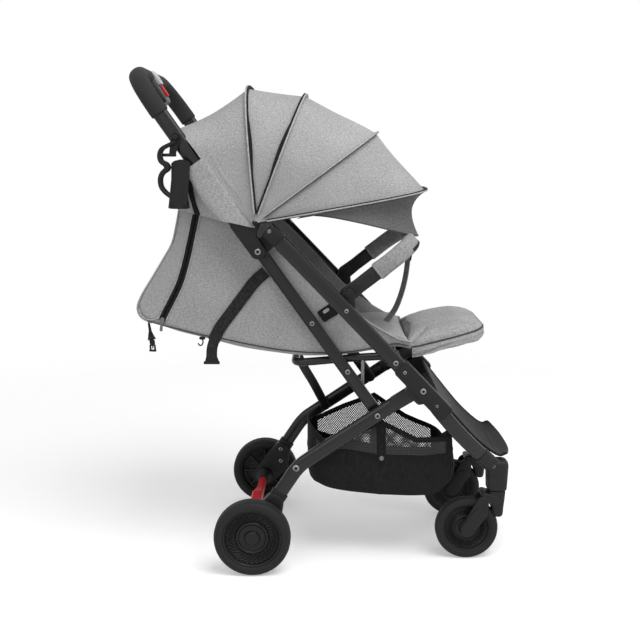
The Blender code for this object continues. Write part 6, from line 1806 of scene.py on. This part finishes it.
housing_black = moulded_plastic("housing_black", (0.012, 0.012, 0.013), 0.36, 0.3)
frame_ring = softened([on_handle(0.3835, 0.011, -0.0195), on_handle(0.3835, 0.0112, 0.0195),
    on_handle(0.4215, 0.0104, 0.0195), on_handle(0.4215, 0.0104, -0.0195)], 0.006, 6)
make_piece("release_housing_moulding", [along_handle(HOUSING, 4.0, middle=-0.002),
    carried(frame_ring, 0.0016, 0.0014, HANDLE_NORMAL, 12)], housing_black, "handle",
    ["release_housing"])
button_plastic = moulded_plastic("button_plastic", (0.46, 0.46, 0.47), 0.38, 0.25, "button_grey")
button_rings = [(0.3872, 0.014, 0.004, 0.013), (0.388, 0.0154, 0.0048, 0.0132),
    (0.39, 0.0162, 0.0052, 0.0132), (0.4, 0.0165, 0.006, 0.0134), (0.414, 0.0165, 0.0062, 0.013),
    (0.4174, 0.016, 0.0056, 0.0126), (0.4188, 0.0142, 0.0045, 0.0124)]
button_ribs = [carried([on_handle(station, 0.0194, -0.01), on_handle(station, 0.0194, 0.01)], 0.0007,
    0.0006, HANDLE_NORMAL, 10, 2.0, 0.0006) for station in (0.396, 0.3995, 0.403, 0.4065, 0.41)]
make_piece("release_button_moulding", [along_handle(button_rings, 5.0), *button_ribs], button_plastic,
    "button", ["release_button"])
lock_rings = [(0.36, 0.0036, 0.0044, 0.01), (0.361, 0.0046, 0.005, 0.01),
    (0.366, 0.005, 0.0052, 0.0102), (0.379, 0.005, 0.0052, 0.0104), (0.3835, 0.0046, 0.005, 0.0104),
    (0.3845, 0.0036, 0.0044, 0.0102)]
lock_shape = along_handle(lock_rings, 4.0, 40)
lock_shape = (lock_shape[0] + np.array((0.0, -0.002, 0.0)), lock_shape[1], lock_shape[2])
make_piece("lock_slider_moulding", [lock_shape], brake_red, "lock", ["lock_slider"])


# Cup holder
# A moulded holder on a stud of the right handle leg: a short arm, a small hoop, two staves that
# stand on a flat base, and a springy looped arm on either side.

cup_plastic = moulded_plastic("cup_plastic", (0.009, 0.009, 0.01), 0.5, 0.4)
STUD = (-0.1347, 0.8634)
CUP = np.array((-0.15, -0.199))
BASE = np.array((-0.133, -0.199))


def cup_ring(centre, z, radius, height, width, stretch=1.18, count=72):
    """A level hoop: a flat band of its own height and width round an upright axis."""
    turn = 2 * math.pi * np.arange(count) / count
    path = xyz(centre[0] - X_CENTRE + radius * np.cos(turn), centre[1] + stretch * radius
        * np.sin(turn), z)
    return carried(path, width / 2, height / 2, UP, 16, 4.0, loop=True)


arm = slab([(*STUD, 0.0098), (-0.142, 0.833, 0.0062)], -0.2035, -0.2082, 0.0014, 64)
boss = revolved(softened([(0.0, -0.003), (0.0092, -0.003), (0.0098, 0.002), (0.007, 0.003),
    (0.0062, 0.0018), (0.0, 0.0018)], 0.0008, 3), world((STUD[0], -0.2072, STUD[1])), -Y_AXIS, 40)
shapes = [arm, boss, cup_ring(CUP, 0.83, 0.012, 0.006, 0.004)]
base_profile = softened([(0.0, 0.0034), (0.017, 0.0034), (0.0205, 0.0014), (0.0205, -0.002),
    (0.0188, -0.0035), (0.0, -0.0035)], 0.0012, 3)
shapes.append(revolved(base_profile, world((BASE[0], BASE[1], 0.733)), UP, 48))
rise = np.linspace(0.0, 1.0, 30)[:, None]
for y, left, right, top in ((-0.2135, -0.14, -0.108, 0.822), (-0.184, -0.148, -0.13, 0.82)):
    across = np.linspace(-1.0, 1.0, 21)[None]
    low_left, low_right = BASE[0] - 0.017, BASE[0] + 0.017
    x = (left + right) / 2 * rise + (low_left + low_right) / 2 * (1 - rise) + across * ((right - left)
        / 2 * rise + (low_right - low_left) / 2 * (1 - rise))
    z = 0.735 + (top - 0.735) * rise - 0.006 * across**2 * rise
    bulge = 0.004 * (1 - across**2) * np.sign(y + 0.199) * (1 - 0.3 * rise)
    shapes.append(thick_sheet(xyz(x - X_CENTRE, y + bulge, z), 0.0026))
WAVE = ((-0.133, 0.856), (-0.148, 0.849), (-0.162, 0.841), (-0.1665, 0.83), (-0.164, 0.819),
    (-0.1545, 0.812), (-0.153, 0.804), (-0.162, 0.796), (-0.1665, 0.785), (-0.165, 0.771),
    (-0.157, 0.76), (-0.145, 0.75), (-0.14, 0.738))
for y, width in ((-0.211, 0.0034), (-0.187, 0.0026)):
    width = width * (1 + 0.55 * np.exp(-(((np.arange(110) - 50) / 12) ** 2)))
    curve = world(evenly(WAVE, 110)) + y * Y_AXIS
    shapes.append(carried(curve, width, 0.0045, Y_AXIS, 18, 4.0, 0.0008))
make_piece("cup_holder_moulding", shapes, cup_plastic, "cup_holder", ["cup_holder"])
stud = rod(0.0052, 0.0, 0.019, on_handle(0.2635, 0.0, -0.2), -Y_AXIS, 28, 0.0006)
make_piece("cup_stud", [stud], end_plastic, "handle")
